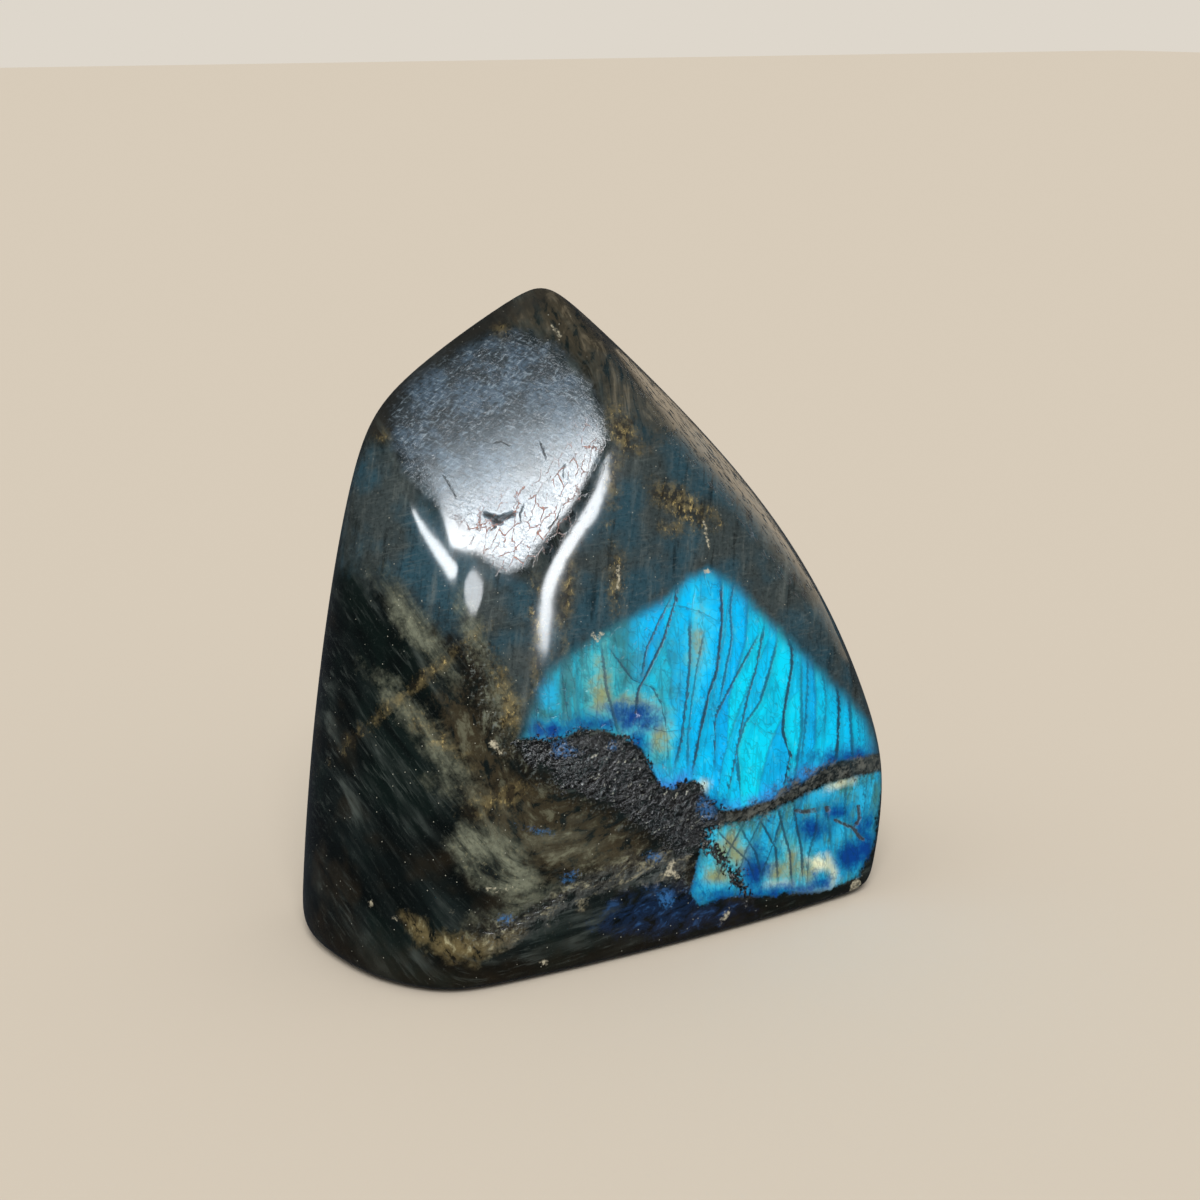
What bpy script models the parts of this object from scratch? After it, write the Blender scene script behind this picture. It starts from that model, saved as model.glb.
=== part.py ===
"""Labradorite freeform: one polished stone, hand-ground to slightly domed faces and sawn flat below.

The stone is described the way it was shaped. From a point inside it, its heart, each ground face
lies at a given reach in a given direction, is domed a little, and runs into its neighbours through a
softly rubbed edge. A cage of points around the heart is moved out to that surface, and a flat saw cut
gives the base that the stone stands on. Units are metres, with +Z up: the broad front is towards -Y,
the tall side is at -X and the sloping side runs down to +X.
"""

from dataclasses import dataclass
import math

import bmesh
import bpy
from mathutils import Vector
import numpy as np

MM = 0.001

STONE_NAME = "labradorite_freeform"
COLLECTION_NAME = "labradorite freeform"

# The heart, as the height that it has above the ground base and its place behind the front
HEART = Vector((0.0, 2.0 * MM, 52.0 * MM))

# Half the size of the box cage around the heart, and the number of cells along each of its axes
CAGE_HALF_SIZE = Vector((60.0 * MM, 22.0 * MM, 62.0 * MM))
CAGE_CELLS = (34, 16, 36)

# How far above the lowest point of the ground stone the saw cuts the base
SAW_CUT_HEIGHT = 0.3 * MM

# The surface is looked for between these distances from the heart, by halving the gap
NEAREST_SURFACE = 1.0 * MM
FARTHEST_SURFACE = 220.0 * MM
HALVINGS = 40

# The polished stone's overall colour, dark blue-grey, and its gloss
STONE_COLOUR = (0.055, 0.075, 0.085, 1.0)
STONE_ROUGHNESS = 0.12
STONE_METALLIC = 0.0

SHARP_EDGE_ANGLE = math.radians(50.0)


@dataclass(frozen=True)
class GroundFace:
    """One ground face of the stone.

    azimuth and tilt, in degrees, give the way it faces: azimuth 0 is +X, 90 is the back and -90 the
    front, and tilt is how far it leans up. reach is its distance from the heart, crown the radius of
    its slight dome, and edge how softly it runs into the faces beside it, all in metres.
    """

    azimuth: float
    tilt: float
    reach: float
    crown: float
    edge: float

    def direction(self) -> np.ndarray:
        """The unit vector that the face points along."""
        azimuth = math.radians(self.azimuth)
        tilt = math.radians(self.tilt)
        level = math.cos(tilt)
        return np.array((math.cos(azimuth) * level, math.sin(azimuth) * level, math.sin(tilt)))

    def dome_centre(self) -> np.ndarray:
        """The middle of the sphere that the face is a small part of, seen from the heart."""
        return self.direction() * (self.reach - self.crown)


GROUND_FACES = {
    "front": GroundFace(-90.0, 10.0, 22.2 * MM, 600.0 * MM, 2.4 * MM),
    "front left corner": GroundFace(-137.0, 17.0, 43.8 * MM, 300.0 * MM, 2.4 * MM),
    "left end": GroundFace(-174.0, 10.0, 55.0 * MM, 400.0 * MM, 2.6 * MM),
    "upper left facet": GroundFace(-118.0, 28.0, 38.8 * MM, 300.0 * MM, 2.2 * MM),
    "blunt tip": GroundFace(-60.0, 78.0, 80.5 * MM, 300.0 * MM, 2.0 * MM),
    "upper right slope": GroundFace(-34.0, 39.5, 44.0 * MM, 900.0 * MM, 1.8 * MM),
    "lower right slope": GroundFace(-31.0, 25.0, 48.8 * MM, 500.0 * MM, 1.8 * MM),
    "right end": GroundFace(-24.0, 10.0, 63.2 * MM, 150.0 * MM, 1.8 * MM),
    "back": GroundFace(90.0, 8.0, 30.5 * MM, 600.0 * MM, 2.6 * MM),
    "back left": GroundFace(152.0, 8.5, 55.5 * MM, 700.0 * MM, 2.4 * MM),
    "upper left shoulder": GroundFace(142.0, 50.0, 71.5 * MM, 400.0 * MM, 2.4 * MM),
    "back right": GroundFace(30.0, 16.0, 64.0 * MM, 400.0 * MM, 4.0 * MM),
    "base": GroundFace(0.0, -90.0, 53.4 * MM, 4000.0 * MM, 1.4 * MM),
}


def clear_scene() -> None:
    """Remove the objects that are already in the scene."""
    for scene_object in list(bpy.data.objects):
        bpy.data.objects.remove(scene_object, do_unlink=True)


def is_outside(points: np.ndarray) -> np.ndarray:
    """Say which points, measured from the heart, lie outside the ground surface.

    A face adds almost nothing well inside it and one on its own surface. Near an edge the faces'
    shares add up, so that the surface turns inwards there, and the edge is rounded.
    """
    share = np.zeros(len(points))
    for face in GROUND_FACES.values():
        height_over_face = np.linalg.norm(points - face.dome_centre(), axis=1) - face.crown
        share += np.exp(np.minimum(height_over_face / face.edge, 50.0))
    return share > 1.0


def surface_distances(directions: np.ndarray) -> np.ndarray:
    """Find how far the surface is from the heart along each unit vector."""
    near = np.full(len(directions), NEAREST_SURFACE)
    far = np.full(len(directions), FARTHEST_SURFACE)
    for _ in range(HALVINGS):
        middle = (near + far) / 2.0
        outside = is_outside(directions * middle[:, None])
        far = np.where(outside, middle, far)
        near = np.where(outside, near, middle)
    return (near + far) / 2.0


def divide_along(cage: bmesh.types.BMesh, axis: int, cells: int) -> None:
    """Cut every edge of the box cage that runs along one axis into equal cells."""
    along = []
    for edge in cage.edges:
        run = edge.verts[0].co - edge.verts[1].co
        if abs(run[axis]) > 0.5 * run.length:
            along.append(edge)
    bmesh.ops.subdivide_edges(cage, edges=along, cuts=cells - 1)


def box_cage() -> bmesh.types.BMesh:
    """A box around the heart, divided into cells, with its middle at the origin."""
    cage = bmesh.new()
    bmesh.ops.create_cube(cage, size=2.0)
    bmesh.ops.scale(cage, vec=CAGE_HALF_SIZE, verts=cage.verts)
    for axis, cells in enumerate(CAGE_CELLS):
        divide_along(cage, axis, cells)
    return cage


def grind(cage: bmesh.types.BMesh) -> None:
    """Move each point of the cage along its line from the heart onto the ground surface."""
    directions = np.array([vertex.co.normalized() for vertex in cage.verts])
    distances = surface_distances(directions)
    for vertex, direction, distance in zip(cage.verts, directions, distances):
        vertex.co = HEART + Vector(direction * distance)


def saw_base(stone: bmesh.types.BMesh) -> None:
    """Flatten the underside to one level, as a saw cut does."""
    cut = min(vertex.co.z for vertex in stone.verts) + SAW_CUT_HEIGHT
    for vertex in stone.verts:
        vertex.co.z = max(vertex.co.z, cut)


def centre_on_base(stone: bmesh.types.BMesh) -> None:
    """Move the stone so that the origin is under the middle of its box, on the base."""
    corners = np.array([vertex.co for vertex in stone.verts])
    lowest = corners.min(axis=0)
    highest = corners.max(axis=0)
    middle = (lowest + highest) / 2.0
    bmesh.ops.translate(stone, vec=Vector((-middle[0], -middle[1], -lowest[2])), verts=stone.verts)


def stone_material() -> bpy.types.Material:
    """The polished stone in its overall colour."""
    material = bpy.data.materials.new("polished labradorite")
    material.use_nodes = True
    principled = material.node_tree.nodes["Principled BSDF"]
    principled.inputs["Base Color"].default_value = STONE_COLOUR
    principled.inputs["Roughness"].default_value = STONE_ROUGHNESS
    principled.inputs["Metallic"].default_value = STONE_METALLIC
    return material


def build_stone() -> bpy.types.Object:
    """Make the stone as one closed object in a collection of its own."""
    stone = box_cage()
    grind(stone)
    saw_base(stone)
    centre_on_base(stone)
    bmesh.ops.recalc_face_normals(stone, faces=stone.faces)

    mesh = bpy.data.meshes.new(STONE_NAME)
    stone.to_mesh(mesh)
    stone.free()
    mesh.shade_smooth()
    mesh.set_sharp_from_angle(angle=SHARP_EDGE_ANGLE)
    mesh.materials.append(stone_material())

    collection = bpy.data.collections.new(COLLECTION_NAME)
    bpy.context.scene.collection.children.link(collection)
    stone_object = bpy.data.objects.new(STONE_NAME, mesh)
    collection.objects.link(stone_object)
    return stone_object


clear_scene()
build_stone()
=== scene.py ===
"""Looks of the labradorite freeform: its polished surface, its markings and the studio around it.

The stone is one closed mesh that stands for the plain solid of the frame. Its form repeats the ground
faces that shaped the solid, on a much finer cage. Its markings are named outlines and crack lines, placed
where the photograph shows them. Each becomes a vertex attribute that holds distances in millimetres, and
the stone's one material turns those distances into colour, gloss and bump.

Outlines on the front are in pixels of the photograph, 1200 by 1200, counted from its upper left corner.
Outlines on the back are in millimetres, along X and Z. Everything else is in metres, +Z up.
"""

from dataclasses import dataclass
from enum import Enum
import logging
import math

import bmesh
import bpy
from mathutils import Matrix, Vector
from mathutils.bvhtree import BVHTree
import numpy as np


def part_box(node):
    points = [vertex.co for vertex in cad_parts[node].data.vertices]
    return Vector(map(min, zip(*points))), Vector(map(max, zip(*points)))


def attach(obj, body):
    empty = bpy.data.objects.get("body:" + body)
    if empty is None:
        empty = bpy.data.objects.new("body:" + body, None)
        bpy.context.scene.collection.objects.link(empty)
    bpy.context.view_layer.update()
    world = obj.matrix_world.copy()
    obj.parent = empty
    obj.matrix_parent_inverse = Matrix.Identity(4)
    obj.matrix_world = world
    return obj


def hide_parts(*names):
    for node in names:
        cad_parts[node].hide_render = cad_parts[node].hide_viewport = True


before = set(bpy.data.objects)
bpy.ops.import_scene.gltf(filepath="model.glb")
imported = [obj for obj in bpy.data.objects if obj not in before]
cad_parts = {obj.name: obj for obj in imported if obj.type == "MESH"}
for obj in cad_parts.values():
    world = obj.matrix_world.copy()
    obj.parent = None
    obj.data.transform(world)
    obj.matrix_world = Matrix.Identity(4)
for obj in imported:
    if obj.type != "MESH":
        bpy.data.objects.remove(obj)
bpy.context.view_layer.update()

LOG = logging.getLogger("labradorite")

MM = 0.001
STONE_NODE = "labradorite_freeform"

# How many pixels of the photograph one millimetre covers at the stone's front
PIXELS_PER_MM = 4.95
PHOTO_SIZE = 1200

# How far inside a marking a point lies, in millimetres, where the marking has no outline near it
FAR_OUTSIDE = -30.0

Points = tuple[tuple[float, float], ...]


def srgb(red: float, green: float, blue: float) -> tuple[float, float, float, float]:
    """Turn a colour seen on screen, 0 to 255, into the linear colour that a shader takes.

    Args:
        red: the red, 0 to 255.
        green: the green.
        blue: the blue.

    Returns:
        The linear colour, opaque.
    """
    linear = []
    for channel in (red, green, blue):
        share = channel / 255.0
        linear.append(share / 12.92 if share <= 0.04045 else ((share + 0.055) / 1.055) ** 2.4)
    return (linear[0], linear[1], linear[2], 1.0)


def smooth_step(values: np.ndarray, low: float, high: float) -> np.ndarray:
    """Rise smoothly from 0 at low to 1 at high."""
    share = np.clip((values - low) / (high - low), 0.0, 1.0)
    return share * share * (3.0 - 2.0 * share)


def distances_to_line(places: np.ndarray, start: np.ndarray, end: np.ndarray) -> np.ndarray:
    """Measure how far places lie from the straight line between two points.

    Args:
        places: points, one row each.
        start: one end of the line.
        end: its other end.

    Returns:
        One distance for each place.
    """
    run = end - start
    offsets = places - start
    share = np.clip(offsets @ run / (run @ run), 0.0, 1.0)
    return np.linalg.norm(offsets - share[:, None] * run, axis=1)


@dataclass(frozen=True)
class PhotoView:
    """The photograph's viewpoint, worked out from the stone's outline and the table's edges."""

    target: tuple[float, float, float] = (-4.4 * MM, -5.3 * MM, 66.4 * MM)
    distance: float = 452.0 * MM
    pitch: float = math.radians(15.0)
    turn: float = math.radians(31.6)
    focal_pixels: float = 2239.0
    sensor_width: float = 36.0

    def axes(self) -> tuple[np.ndarray, np.ndarray, np.ndarray]:
        """The unit vectors to the right, up and into the picture.

        Returns:
            The three, in that order.
        """
        level = math.cos(self.pitch)
        into = np.array((math.sin(self.turn) * level, math.cos(self.turn) * level, -math.sin(self.pitch)))
        right = np.array((math.cos(self.turn), -math.sin(self.turn), 0.0))
        return right, np.cross(right, into), into

    def position(self) -> np.ndarray:
        """Where the camera stands."""
        return np.array(self.target) - self.axes()[2] * self.distance

    def pixels(self, points: np.ndarray) -> np.ndarray:
        """Find where points show in the photograph.

        Args:
            points: places in metres, one row each.

        Returns:
            Pixel coordinates, one row each.
        """
        right, up, into = self.axes()
        offsets = points - self.position()
        depth = offsets @ into
        across = self.focal_pixels * (offsets @ right) / depth
        above = self.focal_pixels * (offsets @ up) / depth
        return np.stack((PHOTO_SIZE / 2 + across, PHOTO_SIZE / 2 - above), axis=1)

    def facing(self, points: np.ndarray, normals: np.ndarray) -> np.ndarray:
        """Say how squarely surfaces face the camera: 1 squarely, 0 edge on, below 0 turned away.

        Args:
            points: places in metres, one row each.
            normals: the outward directions there.

        Returns:
            One number for each point.
        """
        towards = self.position() - points
        towards /= np.linalg.norm(towards, axis=1)[:, None]
        return np.sum(towards * normals, axis=1)

    def make_camera(self) -> bpy.types.Object:
        """Add the camera to the scene and look through it.

        Returns:
            The camera.
        """
        right, up, into = self.axes()
        data = bpy.data.cameras.new("photo_view")
        data.sensor_width = self.sensor_width
        data.lens = self.focal_pixels / PHOTO_SIZE * self.sensor_width
        camera = bpy.data.objects.new("photo_view", data)
        camera.matrix_world = Matrix.LocRotScale(
            Vector(self.position()),
            Matrix((right, up, -into)).transposed().to_quaternion(),
            None,
        )
        bpy.context.scene.collection.objects.link(camera)
        bpy.context.scene.camera = camera
        return camera


@dataclass(frozen=True)
class GroundFace:
    """One ground face of the stone.

    Fields are the way it faces and how far it leans up, in degrees, and its reach from the heart, the
    radius of its slight dome and the softness of its edge, in metres.
    """

    azimuth: float
    tilt: float
    reach: float
    crown: float
    edge: float

    def direction(self) -> np.ndarray:
        """The unit vector that the face points along.

        Returns:
            The vector.
        """
        azimuth = math.radians(self.azimuth)
        tilt = math.radians(self.tilt)
        level = math.cos(tilt)
        return np.array((math.cos(azimuth) * level, math.sin(azimuth) * level, math.sin(tilt)))

    def dome_centre(self) -> np.ndarray:
        """The middle of the sphere that the face is a small part of, seen from the heart."""
        return self.direction() * (self.reach - self.crown)


GROUND_FACES = {
    "front": GroundFace(-90.0, 10.0, 22.2 * MM, 600.0 * MM, 2.4 * MM),
    "front left corner": GroundFace(-137.0, 17.0, 43.8 * MM, 300.0 * MM, 2.4 * MM),
    "left end": GroundFace(-174.0, 10.0, 55.0 * MM, 400.0 * MM, 2.6 * MM),
    "upper left facet": GroundFace(-118.0, 28.0, 38.8 * MM, 300.0 * MM, 2.2 * MM),
    "blunt tip": GroundFace(-60.0, 78.0, 80.5 * MM, 300.0 * MM, 2.0 * MM),
    "upper right slope": GroundFace(-34.0, 39.5, 44.0 * MM, 900.0 * MM, 1.8 * MM),
    "lower right slope": GroundFace(-31.0, 25.0, 48.8 * MM, 500.0 * MM, 1.8 * MM),
    "right end": GroundFace(-24.0, 10.0, 63.2 * MM, 150.0 * MM, 1.8 * MM),
    "back": GroundFace(90.0, 8.0, 30.5 * MM, 600.0 * MM, 2.6 * MM),
    "back left": GroundFace(152.0, 8.5, 55.5 * MM, 700.0 * MM, 2.4 * MM),
    "upper left shoulder": GroundFace(142.0, 50.0, 71.5 * MM, 400.0 * MM, 2.4 * MM),
    "back right": GroundFace(30.0, 16.0, 64.0 * MM, 400.0 * MM, 4.0 * MM),
    "base": GroundFace(0.0, -90.0, 53.4 * MM, 4000.0 * MM, 1.4 * MM),
}


class Mark(Enum):
    """The kinds of marking, each a vertex attribute that holds how far inside it a point lies."""

    FLASH_BELOW_TOP = "flash_below_top"
    FLASH_ABOVE_FOOT = "flash_above_foot"
    TEAL = "teal"
    VIOLET = "violet"
    LOWER_FLASH = "lower_flash"
    OLIVE = "olive"
    HOT = "hot"
    DEEP_BLUE = "deep_blue"
    CYAN = "cyan"
    MATRIX = "matrix"
    VEIN = "vein"
    GREY_BODY = "grey_body"
    APEX = "apex"
    FACET = "facet"
    FACET_RIM = "facet_rim"
    GOLD = "gold"
    MISTY = "misty"
    BAND = "band"
    NAVY = "navy"
    PALE = "pale"
    CREAM = "cream"
    PIT = "pit"
    RUST = "rust"
    CRUMBLY = "crumbly"
    SLOPE = "slope"
    BROWN_SILK = "brown_silk"
    WARM_FOOT = "warm_foot"


class Run(Enum):
    """Which way a family of cracks runs."""

    UPRIGHT = 1
    LEVEL = 0


@dataclass(frozen=True)
class Outline:
    """A marking with a closed outline."""

    points: Points

    def depth_inside(self, places: np.ndarray) -> np.ndarray:
        """Measure how far inside each place lies, below 0 outside, in the outline's own units.

        Args:
            places: points in its own units, one row each.

        Returns:
            One depth for each place.
        """
        corners = np.array(self.points, dtype=float)
        nearest = np.full(len(places), np.inf)
        inside = np.zeros(len(places), dtype=bool)
        for start, end in zip(corners, np.roll(corners, -1, axis=0)):
            nearest = np.minimum(nearest, distances_to_line(places, start, end))
            crosses = (start[1] > places[:, 1]) != (end[1] > places[:, 1])
            rise = end[1] - start[1] if end[1] != start[1] else 1.0
            at = start[0] + (places[:, 1] - start[1]) / rise * (end[0] - start[0])
            inside ^= crosses & (places[:, 0] < at)
        return np.where(inside, nearest, -nearest)


@dataclass(frozen=True)
class Oval:
    """A marking that is a plain oval: its middle, half its width and height, and its turn in degrees."""

    x: float
    y: float
    half_width: float
    half_height: float
    turn: float = 0.0

    def depth_inside(self, places: np.ndarray) -> np.ndarray:
        """Measure how far inside each place lies, below 0 outside, in the oval's own units.

        Args:
            places: points in its own units, one row each.

        Returns:
            One depth for each place.
        """
        turn = math.radians(self.turn)
        offsets = places - np.array((self.x, self.y))
        along = offsets[:, 0] * math.cos(turn) + offsets[:, 1] * math.sin(turn)
        across = offsets[:, 1] * math.cos(turn) - offsets[:, 0] * math.sin(turn)
        reach = np.hypot(along / self.half_width, across / self.half_height)
        return (1.0 - reach) * min(self.half_width, self.half_height)


@dataclass(frozen=True)
class Stroke:
    """A marking that is a line with a width, such as a vein or a thin pale crack."""

    points: Points
    half_width: float

    def depth_inside(self, places: np.ndarray) -> np.ndarray:
        """Measure how far inside each place lies, below 0 outside, in the stroke's own units.

        Args:
            places: points in its own units, one row each.

        Returns:
            One depth for each place.
        """
        nearest = np.full(len(places), np.inf)
        corners = np.array(self.points, dtype=float)
        for start, end in zip(corners[:-1], corners[1:]):
            nearest = np.minimum(nearest, distances_to_line(places, start, end))
        return self.half_width - nearest


FLASH_TOP: Points = (
    (518, 745), (529, 719), (538, 691), (548, 671), (577, 648), (615, 624), (663, 600), (687, 578),
    (708, 569), (730, 581), (758, 609), (787, 638), (816, 667), (845, 695), (866, 719), (880, 760),
)
FLASH_FOOT: Points = (
    (885, 752), (860, 757), (839, 761), (822, 767), (806, 781), (794, 787), (773, 799), (739, 809),
    (720, 810), (706, 797), (695, 779), (673, 790), (661, 787), (650, 767), (643, 751), (632, 742),
    (620, 738), (607, 731), (580, 730), (566, 738), (550, 742), (528, 738), (505, 742),
)
VEIN_LINE: Points = (
    (884, 763), (862, 766), (838, 772), (820, 775), (798, 791), (768, 806), (742, 818), (716, 822),
)
LOWER_FLASH_EDGE: Points = (
    (704, 828), (740, 822), (770, 812), (800, 797), (825, 785), (850, 778), (884, 770), (880, 800),
    (872, 850), (858, 876), (830, 890), (790, 893), (745, 897), (722, 898), (700, 905), (690, 895),
    (695, 870), (700, 850),
)
MATRIX_EDGE: Points = (
    (514, 742), (532, 741), (550, 741), (566, 736), (580, 731), (600, 731), (622, 738), (642, 752),
    (651, 770), (660, 788), (676, 790), (690, 780), (700, 784), (708, 800), (722, 812), (716, 828),
    (704, 836), (694, 852), (676, 850), (660, 838), (640, 824), (613, 803), (588, 797), (562, 787),
    (550, 770), (526, 762),
)
FACET_EDGE: Points = (
    (430, 490), (408, 470), (396, 445), (388, 418), (396, 392), (420, 372), (452, 352), (490, 338),
    (520, 334), (548, 345), (570, 366), (586, 390), (596, 415), (598, 432), (592, 455), (580, 480),
    (560, 512), (536, 544), (517, 563), (508, 566), (492, 552), (470, 530), (448, 510),
)

# What shows on the front, in pixels of the photograph
FRONT_MARKS: dict[Mark, tuple[Outline | Oval | Stroke, ...]] = {
    Mark.FLASH_BELOW_TOP: (Outline(FLASH_TOP + ((900, 860), (500, 860))),),
    Mark.FLASH_ABOVE_FOOT: (Outline(FLASH_FOOT + ((480, 500), (940, 500))),),
    Mark.TEAL: (
        Outline(((500, 760), (515, 640), (600, 590), (630, 600), (640, 650), (644, 700), (636, 750))),
        Oval(655, 748, 15, 32, -20), Oval(664, 690, 12, 40, 10),
    ),
    Mark.VIOLET: (
        Outline((
            (726, 806), (748, 800), (776, 788), (800, 768), (826, 756), (880, 748), (880, 775), (800, 800),
            (735, 818),
        )),
        Outline(((650, 770), (668, 780), (688, 772), (694, 790), (660, 796))),
    ),
    Mark.LOWER_FLASH: (Outline(LOWER_FLASH_EDGE),),
    Mark.OLIVE: (
        Oval(738, 856, 13, 10, 25), Oval(776, 872, 15, 9, -10), Oval(808, 874, 10, 12, 10),
        Oval(732, 842, 9, 9), Oval(718, 876, 12, 9), Oval(722, 848, 7, 12), Oval(792, 860, 6, 12),
        Oval(634, 712, 25, 17, 10), Oval(660, 735, 8, 12), Oval(602, 690, 8, 22), Oval(545, 733, 9, 5),
        Oval(700, 640, 3, 12, 5),
    ),
    Mark.HOT: (
        Oval(821, 864, 8, 6, 20), Stroke(((828, 858), (834, 872), (832, 886), (816, 894), (796, 893)), 2.4),
        Oval(840, 783, 6, 2, -20), Oval(702, 790, 5, 8, 20),
        Stroke(((766, 885), (780, 884), (792, 885)), 1.2),
    ),
    Mark.DEEP_BLUE: (
        Oval(634, 717, 18, 10, 4), Oval(549, 731, 20, 7), Oval(594, 724, 14, 4), Oval(638, 745, 5, 8),
        Oval(700, 804, 16, 9), Oval(850, 856, 12, 13, 8), Oval(812, 829, 12, 8, -10),
        Oval(755, 872, 9, 17, 10), Oval(784, 892, 20, 4, -4), Oval(822, 883, 6, 5), Oval(866, 852, 8, 16),
        Oval(866, 824, 6, 8, 30), Oval(836, 812, 9, 6), Oval(740, 896, 26, 5, -4), Oval(690, 862, 5, 22),
        Oval(850, 757, 24, 4, -6), Oval(792, 788, 8, 5, -30), Oval(722, 898, 14, 5),
    ),
    Mark.CYAN: (
        Oval(714, 889, 20, 5, -4), Oval(566, 752, 10, 5), Oval(613, 746, 3.5, 3.5),
        Oval(666, 899, 8, 8, -10), Oval(536, 830, 7, 1.5, 10), Oval(570, 877, 7, 4, -30),
        Oval(655, 857, 7, 4, 10), Oval(507, 919, 6, 4), Oval(548, 694, 10, 16, 10), Oval(560, 742, 7, 5),
        Oval(708, 806, 9, 12), Oval(820, 798, 16, 7, -20), Oval(842, 834, 8, 10), Oval(862, 800, 6, 14),
        Oval(813, 846, 7, 10),
    ),
    Mark.MATRIX: (
        Outline(MATRIX_EDGE), Oval(700, 832, 22, 9, 50), Stroke(((708, 842), (728, 866), (748, 898)), 4),
    ),
    Mark.CRUMBLY: (
        Outline((
            (462, 640), (486, 650), (502, 700), (516, 740), (560, 790), (620, 812), (676, 846), (640, 836),
            (590, 806), (540, 786), (500, 752), (470, 700),
        )),
        Stroke(((478, 936), (520, 924), (571, 890), (603, 880), (644, 862), (672, 858)), 9),
        Oval(684, 874, 22, 14, 30),
    ),
    Mark.VEIN: (
        Stroke(VEIN_LINE, 7), Oval(790, 789, 15, 7, -30), Oval(824, 771, 12, 6), Oval(752, 814, 14, 6, -20),
    ),
    Mark.GREY_BODY: (
        Outline((
            (556, 600), (590, 500), (600, 420), (604, 360), (640, 340), (760, 460), (860, 620), (900, 760),
            (860, 780), (800, 700), (708, 640), (560, 740), (500, 700), (480, 620),
        )),
        Outline((
            (340, 470), (372, 440), (400, 470), (430, 500), (470, 540), (510, 575), (560, 560), (560, 640),
            (470, 640), (400, 600), (350, 560),
        )),
    ),
    Mark.APEX: (
        Outline((
            (500, 320), (530, 292), (556, 280), (590, 288), (640, 330), (690, 400), (690, 430), (650, 450),
            (612, 405), (580, 360), (540, 330),
        )),
    ),
    Mark.FACET: (Outline(FACET_EDGE),),
    Mark.FACET_RIM: (Stroke(((372, 428), (382, 404), (410, 376), (450, 346), (500, 316), (540, 298)), 9),),
    Mark.GOLD: (
        Oval(682, 504, 30, 14, 35), Oval(674, 528, 9, 5), Oval(622, 430, 10, 20, -25),
        Oval(496, 800, 20, 7, -20), Oval(600, 312, 18, 8, 40), Oval(500, 331, 5, 5), Oval(560, 655, 5, 4),
        Oval(418, 684, 30, 2.2, -40), Oval(383, 436, 5, 4), Oval(612, 480, 5, 20, 6), Oval(616, 580, 5, 20),
        Oval(566, 600, 4, 26, 6), Oval(536, 640, 4, 30), Oval(506, 700, 7, 24, -14),
        Oval(440, 740, 20, 5, 40),
    ),
    Mark.MISTY: (
        Outline((
            (446, 846), (462, 824), (492, 818), (516, 832), (532, 858), (540, 880), (526, 894), (500, 892),
            (470, 876),
        )),
        Oval(414, 624, 10, 48, -34), Oval(430, 736, 10, 52, -42), Oval(560, 846, 44, 12, 10),
        Oval(524, 905, 34, 9, -20), Oval(480, 650, 8, 40, -20), Oval(480, 800, 34, 8, 20),
        Oval(500, 700, 14, 40, -14),
    ),
    Mark.BAND: (
        Outline((
            (476, 944), (500, 925), (540, 905), (580, 880), (620, 862), (660, 850), (690, 856), (694, 876),
            (660, 880), (620, 884), (590, 896), (556, 916), (520, 938), (490, 952),
        )),
    ),
    Mark.NAVY: (
        Outline((
            (592, 930), (604, 912), (630, 892), (664, 884), (694, 886), (702, 900), (740, 900), (750, 912),
            (700, 926), (650, 935),
        )),
        Oval(680, 880, 7, 24),
    ),
    Mark.PALE: (
        Outline((
            (404, 916), (430, 930), (458, 940), (486, 936), (520, 930), (500, 948), (474, 960), (444, 954),
            (418, 940),
        )),
    ),
    Mark.CREAM: (
        Oval(494, 744, 5, 4), Oval(500, 752, 3, 2), Oval(670, 868, 3, 8, 20), Oval(676, 876, 4, 3, 30),
        Oval(855, 886, 7, 4, -60), Oval(726, 915, 7, 2, -55),
        Stroke(((592, 634), (597, 640), (602, 633)), 1.6),
        Stroke(((618, 566), (619, 580), (617, 588)), 1.2), Oval(707, 571, 3, 2),
        Stroke(((704, 522), (709, 548)), 0.8), Stroke(((486, 889), (498, 891), (514, 889)), 1.3),
        Oval(544, 962, 4, 3), Oval(452, 912, 3, 1.4, 30), Oval(371, 904, 2.5, 2),
        Oval(394, 918, 3, 1.6, 20), Stroke(((552, 325), (560, 336)), 1.2),
    ),
    Mark.PIT: (
        Stroke(((797, 811), (807, 812), (816, 810)), 2.0), Oval(828, 809, 3, 3.5),
        Stroke(((836, 820), (846, 825), (854, 828), (859, 836), (864, 840)), 1.7),
        Stroke(((854, 828), (860, 820), (859, 806)), 1.6), Oval(636, 712, 2.2, 2.2),
        Oval(497, 521, 5, 1.8, 15), Stroke(((485, 514), (498, 519), (513, 514)), 1.1),
        Oval(664, 766, 2.5, 2.2), Stroke(((481, 934), (496, 932), (522, 922), (548, 905), (566, 892)), 1.2),
    ),
    Mark.BROWN_SILK: (
        Outline((
            (468, 792), (500, 776), (548, 784), (600, 812), (652, 846), (640, 866), (590, 872), (548, 880),
            (520, 850), (486, 822),
        )),
        Outline(((440, 700), (462, 690), (500, 752), (520, 780), (480, 790), (450, 740))),
    ),
    Mark.SLOPE: (
        Stroke(((636, 366), (665, 402), (700, 448), (728, 480), (755, 512), (780, 545), (806, 582)), 17),
    ),
    Mark.WARM_FOOT: (
        Outline((
            (290, 905), (330, 925), (380, 950), (440, 968), (520, 962), (620, 938), (760, 912), (900, 880),
            (920, 960), (640, 1010), (420, 1030), (300, 980),
        )),
    ),
    Mark.RUST: (
        Outline((
            (462, 524), (500, 500), (536, 482), (566, 452), (588, 428), (600, 446), (576, 502), (546, 542),
            (515, 566), (488, 556),
        )),
    ),
}

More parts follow.
